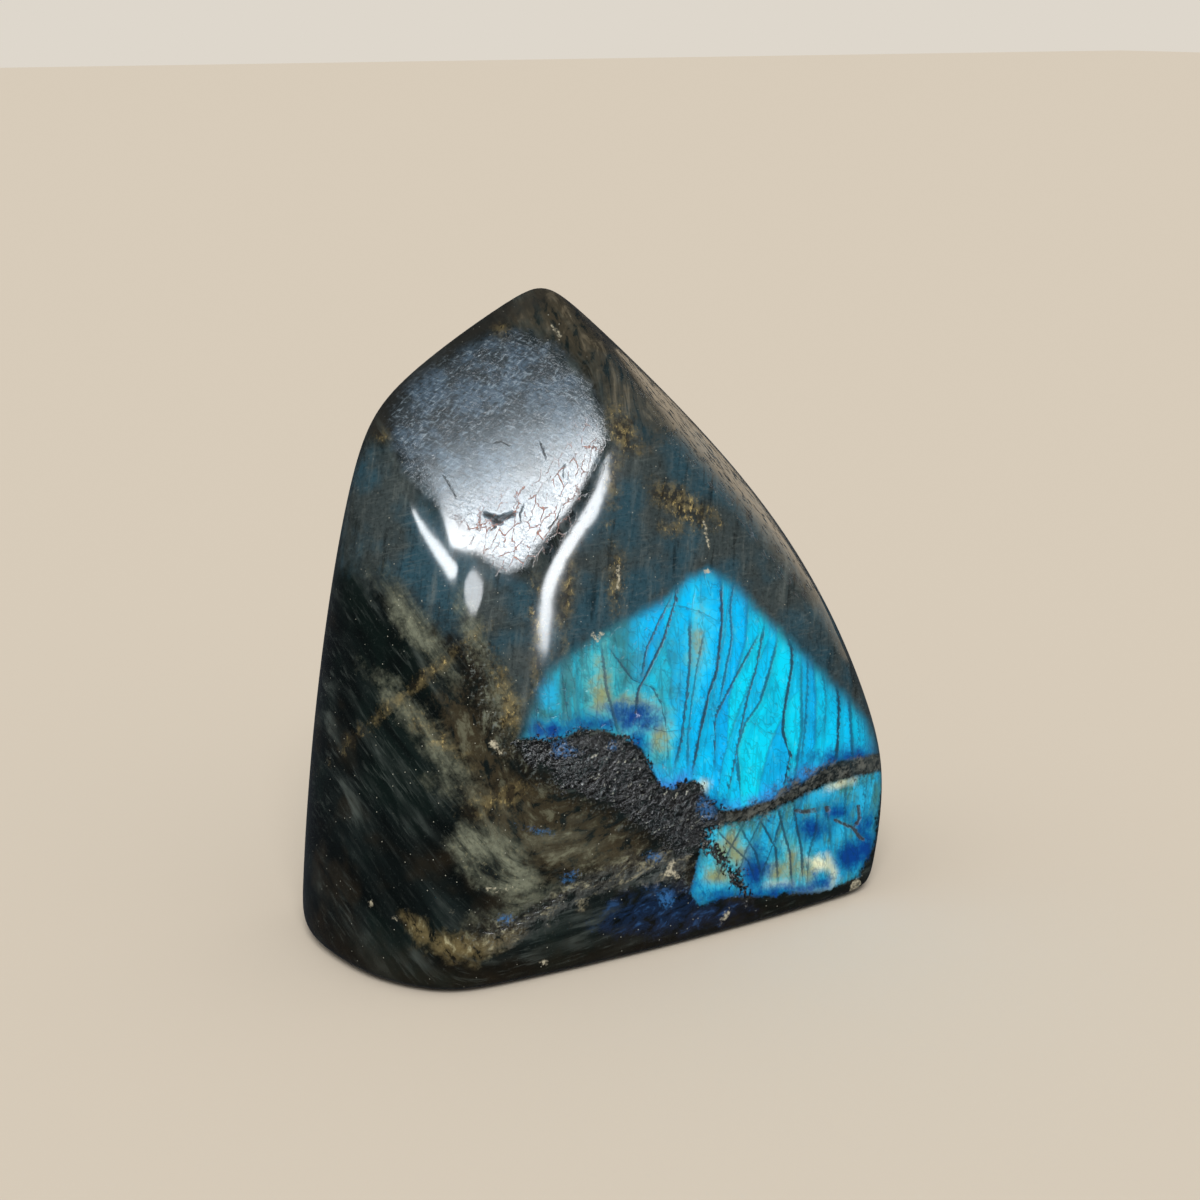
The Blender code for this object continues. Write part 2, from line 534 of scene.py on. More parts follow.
# What would be on the back of such a stone, in millimetres along X and Z
BACK_FLASH: Points = (
    (-34, 48), (-31, 64), (-20, 78), (-3, 88), (10, 80), (22, 67), (29, 52), (26, 42), (14, 35), (5, 36),
    (-3, 31), (-14, 33), (-22, 39), (-30, 41),
)
BACK_MARKS: dict[Mark, tuple[Outline | Oval | Stroke, ...]] = {
    Mark.FLASH_BELOW_TOP: (Outline(BACK_FLASH),),
    Mark.FLASH_ABOVE_FOOT: (Outline(BACK_FLASH),),
    Mark.TEAL: (Oval(-24, 58, 14, 24, 20),),
    Mark.VIOLET: (Oval(0, 34, 26, 7, 6),),
    Mark.LOWER_FLASH: (
        Outline((
            (24, 28), (32, 34), (40, 31), (50, 30), (54, 22), (49, 15), (41, 13), (36, 9), (27, 13),
            (22, 20),
        )),
        Outline(((-46, 42), (-40, 37), (-38, 27), (-41, 20), (-40, 14), (-47, 15), (-50, 24), (-49, 34))),
    ),
    Mark.OLIVE: (Oval(40, 20, 6, 4, 10), Oval(-8, 60, 5, 9)),
    Mark.DEEP_BLUE: (Oval(32, 26, 6, 4), Oval(-14, 44, 5, 3), Oval(-42, 20, 4, 6)),
    Mark.CYAN: (Oval(46, 24, 4, 3),),
    Mark.MATRIX: (
        Outline(((-30, 22), (-14, 30), (2, 26), (16, 30), (24, 22), (14, 14), (-4, 18), (-20, 12))),
        Stroke(((16, 28), (30, 44), (36, 62)), 1.4),
    ),
    Mark.VEIN: (Stroke(((-52, 40), (-38, 36), (-28, 26), (-18, 22)), 1.5),),
    Mark.GOLD: (Oval(-30, 92, 6, 3, 30), Oval(30, 66, 4, 7, 20), Oval(-10, 100, 5, 3)),
    Mark.MISTY: (Oval(-6, 104, 20, 8, -30), Oval(-44, 60, 6, 20, 10), Oval(48, 12, 12, 5, 10)),
    Mark.NAVY: (Oval(-20, 10, 20, 5), Oval(44, 40, 8, 8)),
    Mark.CREAM: (Oval(12, 18, 1.6, 1.2), Oval(-33, 88, 1.2, 2.2, 20)),
}


@dataclass(frozen=True)
class Crack:
    """One crack line of a family, from its first end to its last, and how dark it is."""

    points: Points
    darkness: float = 0.7


@dataclass(frozen=True)
class CrackFamily:
    """Cracks that run side by side without crossing.

    A point's crack place is a crack's number plus the share of the way to the next one, so a crack is
    where that place is a whole number, and it stays thin however coarse the mesh is.

    Fields are the family's name, the way it runs, half a crack's width in millimetres, its cracks, and in
    pixels how far a crack's end fades out, the least gap between two and the gap beside the outer ones.
    """

    name: str
    run: Run
    half_width: float
    cracks: tuple[Crack, ...]
    taper: float = 14.0
    least_gap: float = 2.0
    margin: float = 400.0

    def fields(self, pixels: np.ndarray) -> np.ndarray:
        """Work out the crack place, the gap in millimetres and the darkness at each pixel.

        Args:
            pixels: pixel coordinates, one row each.

        Returns:
            Rows of crack place, gap and darkness.
        """
        along = pixels[:, self.run.value]
        across = pixels[:, 1 - self.run.value]
        lines = [np.full(len(pixels), across.min() - self.margin)]
        darkness = [np.zeros(len(pixels))]
        for crack in self.cracks:
            course = np.array(crack.points, dtype=float)
            ahead = course[:, self.run.value]
            beside = course[:, 1 - self.run.value]
            line = np.interp(along, ahead, beside)
            lines.append(np.maximum(line, lines[-1] + self.least_gap))
            before = smooth_step(along, ahead[0] - self.taper, ahead[0] + self.taper)
            after = 1.0 - smooth_step(along, ahead[-1] - self.taper, ahead[-1] + self.taper)
            darkness.append(crack.darkness * before * after)
        lines.append(lines[-1] + self.margin)
        darkness.append(np.zeros(len(pixels)))
        courses = np.array(lines)
        number = np.clip((courses <= across).sum(axis=0) - 1, 0, len(lines) - 2)
        rows = np.arange(len(pixels))
        gap = courses[number + 1, rows] - courses[number, rows]
        share = np.clip((across - courses[number, rows]) / gap, 0.0, 1.0)
        nearest = np.where(share > 0.5, number + 1, number)
        strength = np.array(darkness)[nearest, rows]
        return np.stack((number + share, gap / PIXELS_PER_MM, strength), axis=1)


FLASH_CRACKS = CrackFamily("flash_cracks", Run.UPRIGHT, 0.52, (
    Crack(((535, 687), (538, 722), (550, 736)), 0.8),
    Crack(((577, 655), (578, 700), (580, 725)), 0.35),
    Crack(((601, 646), (607, 691), (620, 738)), 0.8),
    Crack(((679, 560), (676, 601), (663, 642), (648, 672), (638, 690), (636, 712)), 1.0),
    Crack(((690, 621), (690, 662), (687, 698), (682, 739), (676, 764)), 0.9),
    Crack(((721, 583), (722, 624), (717, 670), (709, 693), (699, 736), (692, 772)), 1.0),
    Crack(((748, 600), (746, 640), (738, 668), (728, 700)), 0.5),
    Crack(((778, 639), (770, 670), (760, 703), (745, 723), (736, 749), (740, 795)), 0.8),
    Crack(((784, 628), (792, 649), (792, 667), (784, 713), (783, 733), (791, 756), (784, 790)), 1.0),
    Crack(((801, 660), (802, 733), (798, 754), (794, 782)), 0.7),
    Crack(((813, 655), (816, 700), (815, 750)), 0.5),
    Crack(((830, 640), (836, 676), (839, 703), (838, 739), (836, 762)), 1.0),
    Crack(((849, 690), (851, 726), (853, 762)), 0.8),
    Crack(((862, 705), (864, 735), (866, 760)), 0.5),
))
LEANING_CRACKS = CrackFamily("leaning_cracks", Run.UPRIGHT, 0.44, (
    Crack(((560, 668), (566, 700), (562, 728)), 0.3),
    Crack(((609, 648), (633, 680), (653, 687), (663, 705), (669, 735), (669, 762)), 0.8),
    Crack(((664, 640), (672, 672), (668, 700)), 0.3),
    Crack(((730, 590), (724, 640), (716, 680), (712, 720)), 0.5),
    Crack(((759, 635), (738, 673), (720, 706), (706, 734), (695, 767)), 0.9),
    Crack(((768, 640), (752, 676), (735, 720), (722, 760), (716, 800)), 0.5),
    Crack(((800, 690), (790, 700), (770, 745), (758, 790)), 0.4),
    Crack(((826, 690), (824, 720), (806, 760)), 0.5),
))
CROSS_CRACKS = CrackFamily("cross_cracks", Run.LEVEL, 0.34, (
    Crack(((660, 607), (676, 606), (700, 612), (722, 624)), 0.6),
    Crack(((560, 690), (620, 700), (664, 690), (700, 700)), 0.2),
    Crack((
        (640, 724), (663, 730), (691, 728), (699, 708), (720, 709), (733, 719), (756, 722), (766, 731),
        (778, 733),
    ), 0.7),
))
FINE_CRACKS = CrackFamily("fine_cracks", Run.UPRIGHT, 0.4, (
    Crack(((562, 668), (566, 698), (570, 723)), 0.7),
    Crack(((672, 597), (659, 622), (646, 651), (642, 677)), 0.9),
    Crack(((705, 630), (697, 668), (692, 702), (688, 736), (688, 769)), 0.7),
    Crack(((734, 580), (730, 609), (732, 639), (726, 668), (720, 700)), 0.8),
    Crack(((764, 626), (756, 668), (747, 698), (739, 736), (732, 769), (726, 795)), 0.9),
    Crack(((808, 654), (808, 685), (806, 719), (802, 761)), 0.7),
    Crack(((822, 668), (826, 700), (824, 740)), 0.6),
    Crack(((856, 694), (858, 727), (860, 750)), 0.6),
))
LOWER_CRACKS = CrackFamily("lower_cracks", Run.UPRIGHT, 0.42, (
    Crack(((700, 836), (716, 856), (722, 890)), 0.6),
    Crack(((713, 826), (728, 842), (749, 862), (756, 880)), 0.8),
    Crack(((738, 821), (746, 838), (756, 853), (762, 880)), 0.8),
    Crack(((756, 813), (766, 830), (776, 849), (778, 880)), 0.9),
    Crack(((778, 806), (783, 829), (790, 853), (792, 884)), 0.9),
    Crack(((794, 800), (796, 823), (802, 851), (803, 880)), 0.9),
    Crack(((818, 806), (816, 831), (808, 854), (806, 884)), 0.7),
    Crack(((826, 800), (829, 826), (832, 850)), 0.6),
    Crack(((846, 784), (845, 810), (846, 850)), 0.6),
    Crack(((866, 775), (864, 800), (862, 822)), 0.7),
))
LOWER_LEANING_CRACKS = CrackFamily("lower_leaning_cracks", Run.UPRIGHT, 0.38, (
    Crack(((730, 824), (716, 842), (706, 862)), 0.6),
    Crack(((746, 819), (728, 853), (716, 880)), 0.8),
    Crack(((764, 814), (746, 850), (736, 880)), 0.7),
    Crack(((786, 806), (772, 850), (760, 880)), 0.8),
    Crack(((802, 800), (782, 840), (772, 870)), 0.5),
    Crack(((838, 790), (818, 830), (800, 870)), 0.5),
))
FACET_SCRATCHES = CrackFamily("facet_scratches", Run.LEVEL, 0.26, (
    Crack(((447, 440), (455, 436), (464, 429), (472, 423), (486, 413)), 0.9),
    Crack(((493, 443), (501, 441), (510, 445)), 0.8),
    Crack(((484, 514), (493, 517), (500, 522), (508, 518), (516, 513)), 1.0),
    Crack(((490, 530), (496, 526), (501, 521)), 0.9),
), 3.0, 0.5)
FACET_SPLITS = CrackFamily("facet_splits", Run.UPRIGHT, 0.26, (
    Crack(((443, 474), (450, 486), (456, 497)), 0.9),
    Crack(((524, 505), (520, 514), (521, 522)), 0.8),
    Crack(((540, 441), (543, 450), (546, 458)), 0.8),
    Crack(((562, 508), (558, 518), (549, 528)), 0.9),
    Crack(((565, 464), (562, 471), (559, 480)), 0.7),
    Crack(((585, 410), (588, 415), (592, 419)), 0.7),
), 3.0, 0.5)
CRACK_FAMILIES = (
    FLASH_CRACKS, LEANING_CRACKS, FINE_CRACKS, CROSS_CRACKS, LOWER_CRACKS, LOWER_LEANING_CRACKS,
)
SCRATCH_FAMILIES = (FACET_SCRATCHES, FACET_SPLITS)


@dataclass
class StoneForm:
    """The stone's polished surface, as a fine cage ground to the faces that the frame's solid has.

    Fields are the point inside the stone that the faces are measured from, half the cage's size, the
    cells along each axis, the saw cut's height above the lowest point, how far off edge on a face may
    be to get the finer cells of the side that the photograph shows, the distances from the heart
    between which the surface lies, how often that gap is halved, and the greatest power of a share.
    """

    heart: tuple[float, float, float] = (0.0, 2.0 * MM, 52.0 * MM)
    cage_half_size: tuple[float, float, float] = (60.0 * MM, 22.0 * MM, 62.0 * MM)
    cage_cells: tuple[int, int, int] = (98, 42, 98)
    saw_cut_height: float = 0.3 * MM
    edge_on: float = -0.12
    nearest: float = 1.0 * MM
    farthest: float = 220.0 * MM
    halvings: int = 32
    greatest_power: float = 50.0

    def shares(self, points: np.ndarray) -> tuple[np.ndarray, np.ndarray]:
        """Add up the faces' shares at points measured from the heart.

        Args:
            points: places in metres from the heart, one row each.

        Returns:
            The sum of shares, which is 1 on the surface, and the outward direction there.
        """
        total = np.zeros(len(points))
        outward = np.zeros_like(points)
        for face in GROUND_FACES.values():
            offsets = points - face.dome_centre()
            lengths = np.linalg.norm(offsets, axis=1)
            share = np.exp(np.minimum((lengths - face.crown) / face.edge, self.greatest_power))
            total += share
            outward += offsets * (share / lengths / face.edge)[:, None]
        return total, outward / np.linalg.norm(outward, axis=1)[:, None]

    def distances(self, directions: np.ndarray) -> np.ndarray:
        """Find how far the surface is from the heart along each unit vector, by halving the gap.

        Args:
            directions: unit vectors, one row each.

        Returns:
            One distance in metres for each.
        """
        near = np.full(len(directions), self.nearest)
        far = np.full(len(directions), self.farthest)
        for _ in range(self.halvings):
            middle = (near + far) / 2.0
            total, _ = self.shares(directions * middle[:, None])
            far = np.where(total > 1.0, middle, far)
            near = np.where(total > 1.0, near, middle)
        return (near + far) / 2.0

    def make_cage(self) -> bmesh.types.BMesh:
        """A box around the heart, divided into cells.

        Returns:
            The cage.
        """
        cage = bmesh.new()
        bmesh.ops.create_cube(cage, size=2.0)
        bmesh.ops.scale(cage, vec=Vector(self.cage_half_size), verts=cage.verts)
        for axis, cells in enumerate(self.cage_cells):
            along = []
            for edge in cage.edges:
                run = edge.verts[0].co - edge.verts[1].co
                if abs(run[axis]) > 0.5 * run.length:
                    along.append(edge)
            bmesh.ops.subdivide_edges(cage, edges=along, cuts=cells - 1)
        return cage

    def refine_seen_side(self, cage: bmesh.types.BMesh, view: PhotoView) -> None:
        """Halve the cells that face the camera.

        Args:
            cage: the divided box around the heart.
            view: the photograph's viewpoint.
        """
        cage.faces.ensure_lookup_table()
        directions = np.array([face.calc_center_median().normalized() for face in cage.faces])
        points = directions * self.distances(directions)[:, None]
        _, outward = self.shares(points)
        seen = view.facing(points + np.array(self.heart), outward) > self.edge_on
        edges = {edge for face, is_seen in zip(cage.faces, seen) if is_seen for edge in face.edges}
        bmesh.ops.subdivide_edges(cage, edges=list(edges), cuts=1, use_grid_fill=True)

    def make_mesh(self, view: PhotoView) -> bpy.types.Mesh:
        """Build the ground and sawn stone, set inside the frame's solid.

        Args:
            view: the photograph's viewpoint, which gets the finer cells.

        Returns:
            A closed mesh in the frame's place.
        """
        cage = self.make_cage()
        self.refine_seen_side(cage, view)
        mesh = bpy.data.meshes.new(STONE_NODE)
        cage.to_mesh(mesh)
        cage.free()
        places = np.empty(len(mesh.vertices) * 3)
        mesh.vertices.foreach_get("co", places)
        directions = places.reshape(-1, 3)
        directions /= np.linalg.norm(directions, axis=1)[:, None]
        points = directions * self.distances(directions)[:, None]
        cut = points[:, 2].min() + self.saw_cut_height
        points[:, 2] = np.maximum(points[:, 2], cut)
        mesh.vertices.foreach_set("co", self.fit_to_frame(points).ravel())
        mesh.update()
        mesh.shade_smooth()
        return mesh

    def fit_to_frame(self, points: np.ndarray) -> np.ndarray:
        """Set the points on the base, under the middle of the frame's box, and no larger than it.

        Args:
            points: the surface's places from the heart, one row each.

        Returns:
            Their places in the frame.
        """
        lowest, highest = points.min(axis=0), points.max(axis=0)
        middle = (lowest + highest) / 2.0
        middle[2] = lowest[2]
        cad_lowest, cad_highest = (np.array(corner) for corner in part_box(STONE_NODE))
        cad_middle = (cad_lowest + cad_highest) / 2.0
        cad_middle[2] = cad_lowest[2]
        fit = min(1.0, ((cad_highest - cad_lowest) / (highest - lowest)).min())
        return (points - middle) * fit + cad_middle


class StoneMarks:
    """Turns the outlines and cracks into attributes of the stone's mesh."""

    # How far a marking shrinks, in millimetres, on surfaces that are turned away from its side
    turned_away_loss = 26.0
    # How far a surface is turned away from the photograph, and towards the back, where that begins and ends
    front_turn = (0.02, 0.45)
    back_turn = (0.25, 0.75)
    # How squarely a surface faces the camera where its cracks fade in
    crack_turn = (-0.3, 0.0)
    # The corner of the chevrons that the silky streaks make at the lower left, in pixels, and their slopes
    chevron_x = 484.0
    chevron_foot = 950.0
    chevron_lean = 0.25
    chevron_left_slope = 1.06
    chevron_right_slope = -0.45
    chevron_roundness = 46.0
    # Where the facet's painted sheen begins, in pixels, how much it falls to the right for each pixel, and
    # how far
    facet_x = 400.0
    facet_y = 380.0
    facet_lean = 0.45
    facet_sheen_fall = 250.0

    def __init__(self, mesh: bpy.types.Mesh, view: PhotoView) -> None:
        """Read the mesh once.

        Args:
            mesh: the stone's mesh, which gets the attributes.
            view: the photograph's viewpoint.
        """
        self.mesh = mesh
        count = len(mesh.vertices)
        places = np.empty(count * 3)
        normals = np.empty(count * 3)
        mesh.vertices.foreach_get("co", places)
        mesh.vertex_normals.foreach_get("vector", normals)
        self.places = places.reshape(-1, 3)
        self.normals = normals.reshape(-1, 3)
        self.into = view.axes()[2]
        self.pixels = view.pixels(self.places)
        self.facing = view.facing(self.places, self.normals)

    def write(self, name: str, values: np.ndarray) -> None:
        """Store values on the vertices.

        Args:
            name: the attribute's name.
            values: one number or one row of three for each vertex.
        """
        is_vector = values.ndim == 2
        kind = "FLOAT_VECTOR" if is_vector else "FLOAT"
        attribute = self.mesh.attributes.new(name, kind, "POINT")
        attribute.data.foreach_set("vector" if is_vector else "value", values.astype(np.float32).ravel())

    def write_marks(self) -> None:
        """Write each kind of marking as the greatest depth inside any of its outlines."""
        behind = self.places[:, (0, 2)] / MM
        front_loss = self.turned_away_loss * smooth_step(-self.facing, *self.front_turn)
        back_loss = self.turned_away_loss * (1.0 - smooth_step(self.normals[:, 1], *self.back_turn))
        for mark in Mark:
            depth = np.full(len(self.places), FAR_OUTSIDE)
            for shape in FRONT_MARKS.get(mark, ()):
                inside = shape.depth_inside(self.pixels) / PIXELS_PER_MM - front_loss
                depth = np.maximum(depth, inside)
            for shape in BACK_MARKS.get(mark, ()):
                depth = np.maximum(depth, shape.depth_inside(behind) - back_loss)
            self.write(mark.value, depth)

    def write_cracks(self) -> None:
        """Write each family's crack place, gap and darkness, which fades on surfaces turned away."""
        seen = smooth_step(self.facing, *self.crack_turn)
        for family in CRACK_FAMILIES + SCRATCH_FAMILIES:
            fields = family.fields(self.pixels)
            fields[:, 2] *= seen
            self.write(family.name, fields)

    def write_silk(self) -> None:
        """Write the coordinates that the silky streaks follow, in millimetres: across, along and depth."""
        across, up = self.pixels[:, 0], self.chevron_foot - self.pixels[:, 1]
        beside = across - self.chevron_x - self.chevron_lean * up
        bend = np.hypot(beside, self.chevron_roundness)
        left, right = self.chevron_left_slope, self.chevron_right_slope
        level = up + beside * (left + right) / 2.0 - bend * (left - right) / 2.0
        to_right = smooth_step(beside, -self.chevron_roundness, self.chevron_roundness)
        steepness = math.hypot(1.0, left) * (1.0 - to_right) + math.hypot(1.0, right) * to_right
        depth = self.places @ self.into / MM
        courses = (level / steepness / PIXELS_PER_MM, beside * steepness / PIXELS_PER_MM, depth)
        self.write("silk_flow", np.stack(courses, axis=1))

    def write_facet_sheen(self) -> None:
        """Write how far down and right a point lies on the satin facet, 0 at its top and 1 at its foot,
        where its painted sheen is palest.
        """
        across, down = self.pixels[:, 0] - self.facet_x, self.pixels[:, 1] - self.facet_y
        self.write("facet_sheen_fall", (across * self.facet_lean + down) / self.facet_sheen_fall)

    def write_all(self) -> None:
        """Write every attribute that the stone's material and relief read."""
        self.write_marks()
        self.write_cracks()
        self.write_silk()
        self.write_facet_sheen()


Socket = bpy.types.NodeSocket
Feed = Socket | float | tuple

# A Mix node's first input, second input and output by number, since those of each kind share their names
MIX_SOCKETS = {"FLOAT": (2, 3, 0), "RGBA": (6, 7, 2)}


class NodeBench:
    """Short calls for building a node tree."""

    def __init__(self, tree: bpy.types.NodeTree) -> None:
        """Work on one tree.

        Args:
            tree: the node tree to add to.
        """
        self.tree = tree

    def node(self, kind: str, inputs: dict[str | int, Feed] | None = None,
             **settings: object) -> bpy.types.Node:
        """Add a node, set its plain properties and feed its inputs.

        Args:
            kind: the node's type.
            inputs: what its inputs get, by their names or numbers.
            settings: its plain properties.

        Returns:
            The node.
        """
        node = self.tree.nodes.new(kind)
        for name, value in settings.items():
            setattr(node, name, value)
        for name, value in (inputs or {}).items():
            self.feed(node.inputs[name], value)
        return node

    def feed(self, socket: Socket, value: Feed) -> None:
        """Link a socket to an output, or set its own value.

        Args:
            socket: the input.
            value: what it gets.
        """
        if isinstance(value, Socket):
            self.tree.links.new(value, socket)
        else:
            socket.default_value = value

    def number(self, operation: str, *values: Feed) -> Socket:
        """Add a Math node on up to three values."""
        return self.node("ShaderNodeMath", dict(enumerate(values)), operation=operation).outputs[0]

    def add(self, first: Feed, second: Feed) -> Socket:
        """Add two numbers."""
        return self.number("ADD", first, second)

    def times(self, first: Feed, second: Feed) -> Socket:
        """Multiply two numbers."""
        return self.number("MULTIPLY", first, second)

    def less(self, first: Feed, second: Feed) -> Socket:
        """Take the second number from the first."""
        return self.number("SUBTRACT", first, second)

    def most(self, first: Feed, second: Feed) -> Socket:
        """Take the greater of two numbers."""
        return self.number("MAXIMUM", first, second)

    def step(self, value: Feed, low: Feed, high: Feed) -> Socket:
        """Rise smoothly from 0 at low to 1 at high."""
        given = {"Value": value, "From Min": low, "From Max": high}
        return self.node("ShaderNodeMapRange", given, interpolation_type="SMOOTHSTEP").outputs["Result"]

    def spread(self, value: Feed, low: float, high: float) -> Socket:
        """Turn 0 to 1 into low to high."""
        given = {"Value": value, "To Min": low, "To Max": high}
        return self.node("ShaderNodeMapRange", given).outputs["Result"]

    def mix(self, kind: str, share: Feed, *values: Feed) -> Socket:
        """Add a Mix node.

        Args:
            kind: the kind of value that it mixes.
            share: how much the second value counts.
            values: the two values.

        Returns:
            The mixture.
        """
        first, second, result = MIX_SOCKETS[kind]
        given = dict(zip((0, first, second), (share, *values)))
        return self.node("ShaderNodeMix", given, data_type=kind).outputs[result]

    def blend(self, share: Feed, below: Feed, above: Feed) -> Socket:
        """Lay one colour over another by a share."""
        return self.mix("RGBA", share, below, above)

    def coats(self, colour: Feed, *coats: tuple[Feed, float, float, float, Feed]) -> Socket:
        """Lay colours over one another, each where a value rises.

        Args:
            colour: the colour under them all.
            coats: for each its value, where that begins and ends to rise, its greatest share, its colour.

        Returns:
            The topmost colour.
        """
        for value, low, high, share, over in coats:
            colour = self.blend(self.times(self.step(value, low, high), share), colour, over)
        return colour

    def vector(self, x: Feed, y: Feed, z: Feed) -> Socket:
        """Join three numbers."""
        return self.node("ShaderNodeCombineXYZ", {0: x, 1: y, 2: z}).outputs[0]

    def parts(self, vector: Feed) -> list[Socket]:
        """Split a vector into its three numbers."""
        return list(self.node("ShaderNodeSeparateXYZ", {0: vector}).outputs)

    def chance(self, first: Feed, second: Feed) -> Socket:
        """Draw a chance value of 0 to 1 for each pair of numbers."""
        given = {"Vector": self.vector(first, second, 0.0)}
        return self.node("ShaderNodeTexWhiteNoise", given, noise_dimensions="2D").outputs["Value"]

    def scaled(self, number: Feed, factor: float) -> Socket:
        """Turn a number into a vector with that length times factor on each axis."""
        value = self.times(number, factor)
        return self.vector(value, value, value)

    def vector_sum(self, first: Feed, second: Feed) -> Socket:
        """Add two vectors."""
        return self.node("ShaderNodeVectorMath", {0: first, 1: second}, operation="ADD").outputs[0]

    def stretched(self, vector: Feed, factors: tuple[float, float, float]) -> Socket:
        """Scale a vector along its axes."""
        return self.node("ShaderNodeVectorMath", {0: vector, 1: factors}, operation="MULTIPLY").outputs[0]

    def turned(self, vector: Feed, degrees: float) -> Socket:
        """Turn a vector in the picture's plane."""
        given = {"Vector": vector, "Angle": math.radians(degrees)}
        return self.node("ShaderNodeVectorRotate", given, rotation_type="Z_AXIS").outputs[0]

    def noise(self, place: Feed, scale: float, detail: float = 3.0, roughness: float = 0.5,
              warp: float = 0.0) -> Socket:
        """Add a noise of 0 to 1.

        Args:
            place: the coordinates.
            scale: how many lumps there are to a unit of place.
            detail: how many finer layers it has.
            roughness: how strong those are.
            warp: how far it is twisted.

        Returns:
            The noise.
        """
        given = {
            "Vector": place, "Scale": scale, "Detail": detail, "Roughness": roughness, "Distortion": warp,
        }
        return self.node("ShaderNodeTexNoise", given, noise_dimensions="3D").outputs["Fac"]

    def cells(self, place: Feed, scale: float, feature: str = "F1") -> bpy.types.Node:
        """Add a Voronoi texture."""
        return self.node("ShaderNodeTexVoronoi", {"Vector": place, "Scale": scale}, feature=feature)

    def threads(self, place: Feed, scale: float, width: float, detail: float = 2.0) -> Socket:
        """Draw thin winding lines, 1 on the line and 0 off it, where a noise passes through its middle."""
        away = self.number("ABSOLUTE", self.less(self.noise(place, scale, detail), 0.5))
        return self.less(1.0, self.step(away, width * 0.35, width))

    def attribute(self, name: str) -> bpy.types.Node:
        """Read a vertex attribute."""
        return self.node("ShaderNodeAttribute", attribute_name=name)


@dataclass(frozen=True)
class FlashColours:
    """The colours that the stone's sheen shows."""

    bright: tuple = srgb(4, 216, 255)
    azure: tuple = srgb(6, 178, 255)
    shade: tuple = srgb(12, 130, 188)
    pale: tuple = srgb(84, 226, 250)
    teal: tuple = srgb(62, 126, 134)
    teal_bright: tuple = srgb(42, 164, 194)
    teal_dark: tuple = srgb(46, 96, 92)
    faded: tuple = srgb(46, 92, 112)
    violet: tuple = srgb(62, 124, 228)
    deep_blue: tuple = srgb(6, 54, 138)
    olive: tuple = srgb(146, 142, 78)
    hot: tuple = srgb(236, 240, 206)
    cyan: tuple = srgb(36, 176, 232)
    crack: tuple = srgb(0, 50, 78)
    spot: tuple = srgb(52, 112, 178)


@dataclass(frozen=True)
class BodyColours:
    """The colours of the stone where it shows no sheen."""

    silk_dark: tuple = srgb(5, 9, 9)
    silk_mid: tuple = srgb(18, 26, 27)
    silk_light: tuple = srgb(78, 88, 88)
    silk_green: tuple = srgb(14, 27, 25)
    silk_brown: tuple = srgb(40, 34, 24)
    grey_body: tuple = srgb(54, 64, 68)
    # Pale grey: streaks in the upper body, and painted highlights on the rocky patches
    grey_light: tuple = srgb(104, 114, 116)
    grey_blue: tuple = srgb(42, 72, 88)
    apex: tuple = srgb(62, 58, 48)
    apex_pale: tuple = srgb(100, 94, 80)
    facet: tuple = srgb(56, 74, 92)
    facet_dark: tuple = srgb(32, 40, 46)
    # Pale steel blue: the facet's rubbed strokes, and its painted sheen towards its foot
    facet_pale_and_sheen: tuple = srgb(120, 138, 154)
    rim: tuple = srgb(38, 38, 36)
    gold: tuple = srgb(184, 168, 116)
    gold_dull: tuple = srgb(110, 101, 72)
    foot_brown: tuple = srgb(40, 34, 24)
    smoky_brown: tuple = srgb(66, 60, 46)
    smoky_grey: tuple = srgb(110, 112, 96)
    misty: tuple = srgb(113, 120, 108)
    band: tuple = srgb(164, 158, 134)
    band_blue: tuple = srgb(80, 88, 92)
    navy: tuple = srgb(16, 34, 62)
    navy_light: tuple = srgb(44, 84, 140)
    pale: tuple = srgb(182, 180, 148)
    matrix: tuple = srgb(12, 18, 21)
    # Dark grey for the painted light on the crumbs' faces
    matrix_lit_side: tuple = srgb(36, 46, 49)
    # Pale grey: mica specks, and painted glints on the crumbs
    grain: tuple = srgb(186, 190, 182)
    vein: tuple = srgb(92, 97, 96)
    vein_dark: tuple = srgb(30, 37, 40)
    cream: tuple = srgb(180, 178, 162)
    rust: tuple = srgb(190, 122, 98)
    # Near black: pits, scratches and dark patches in the matrix, and painted shade on the rocky patches and
    # crumbs
    pit: tuple = srgb(10, 10, 10)


@dataclass(frozen=True)
class Gloss:
    """How rough each kind of surface is, and the stone's refraction."""

    polished: float = 0.075
    satin: float = 0.11
    matrix: float = 0.14
    crack: float = 0.3
    pit: float = 0.9
    refraction: float = 1.56


@dataclass(frozen=True)
class BumpHeights:
    """How high or deep the finest relief is, in millimetres."""

    crumb: float = 0.6
    crack: float = 0.05
    dent: float = 0.06
    satin_scratch: float = 0.010
    satin_rub: float = 0.012
    waviness: float = 0.02


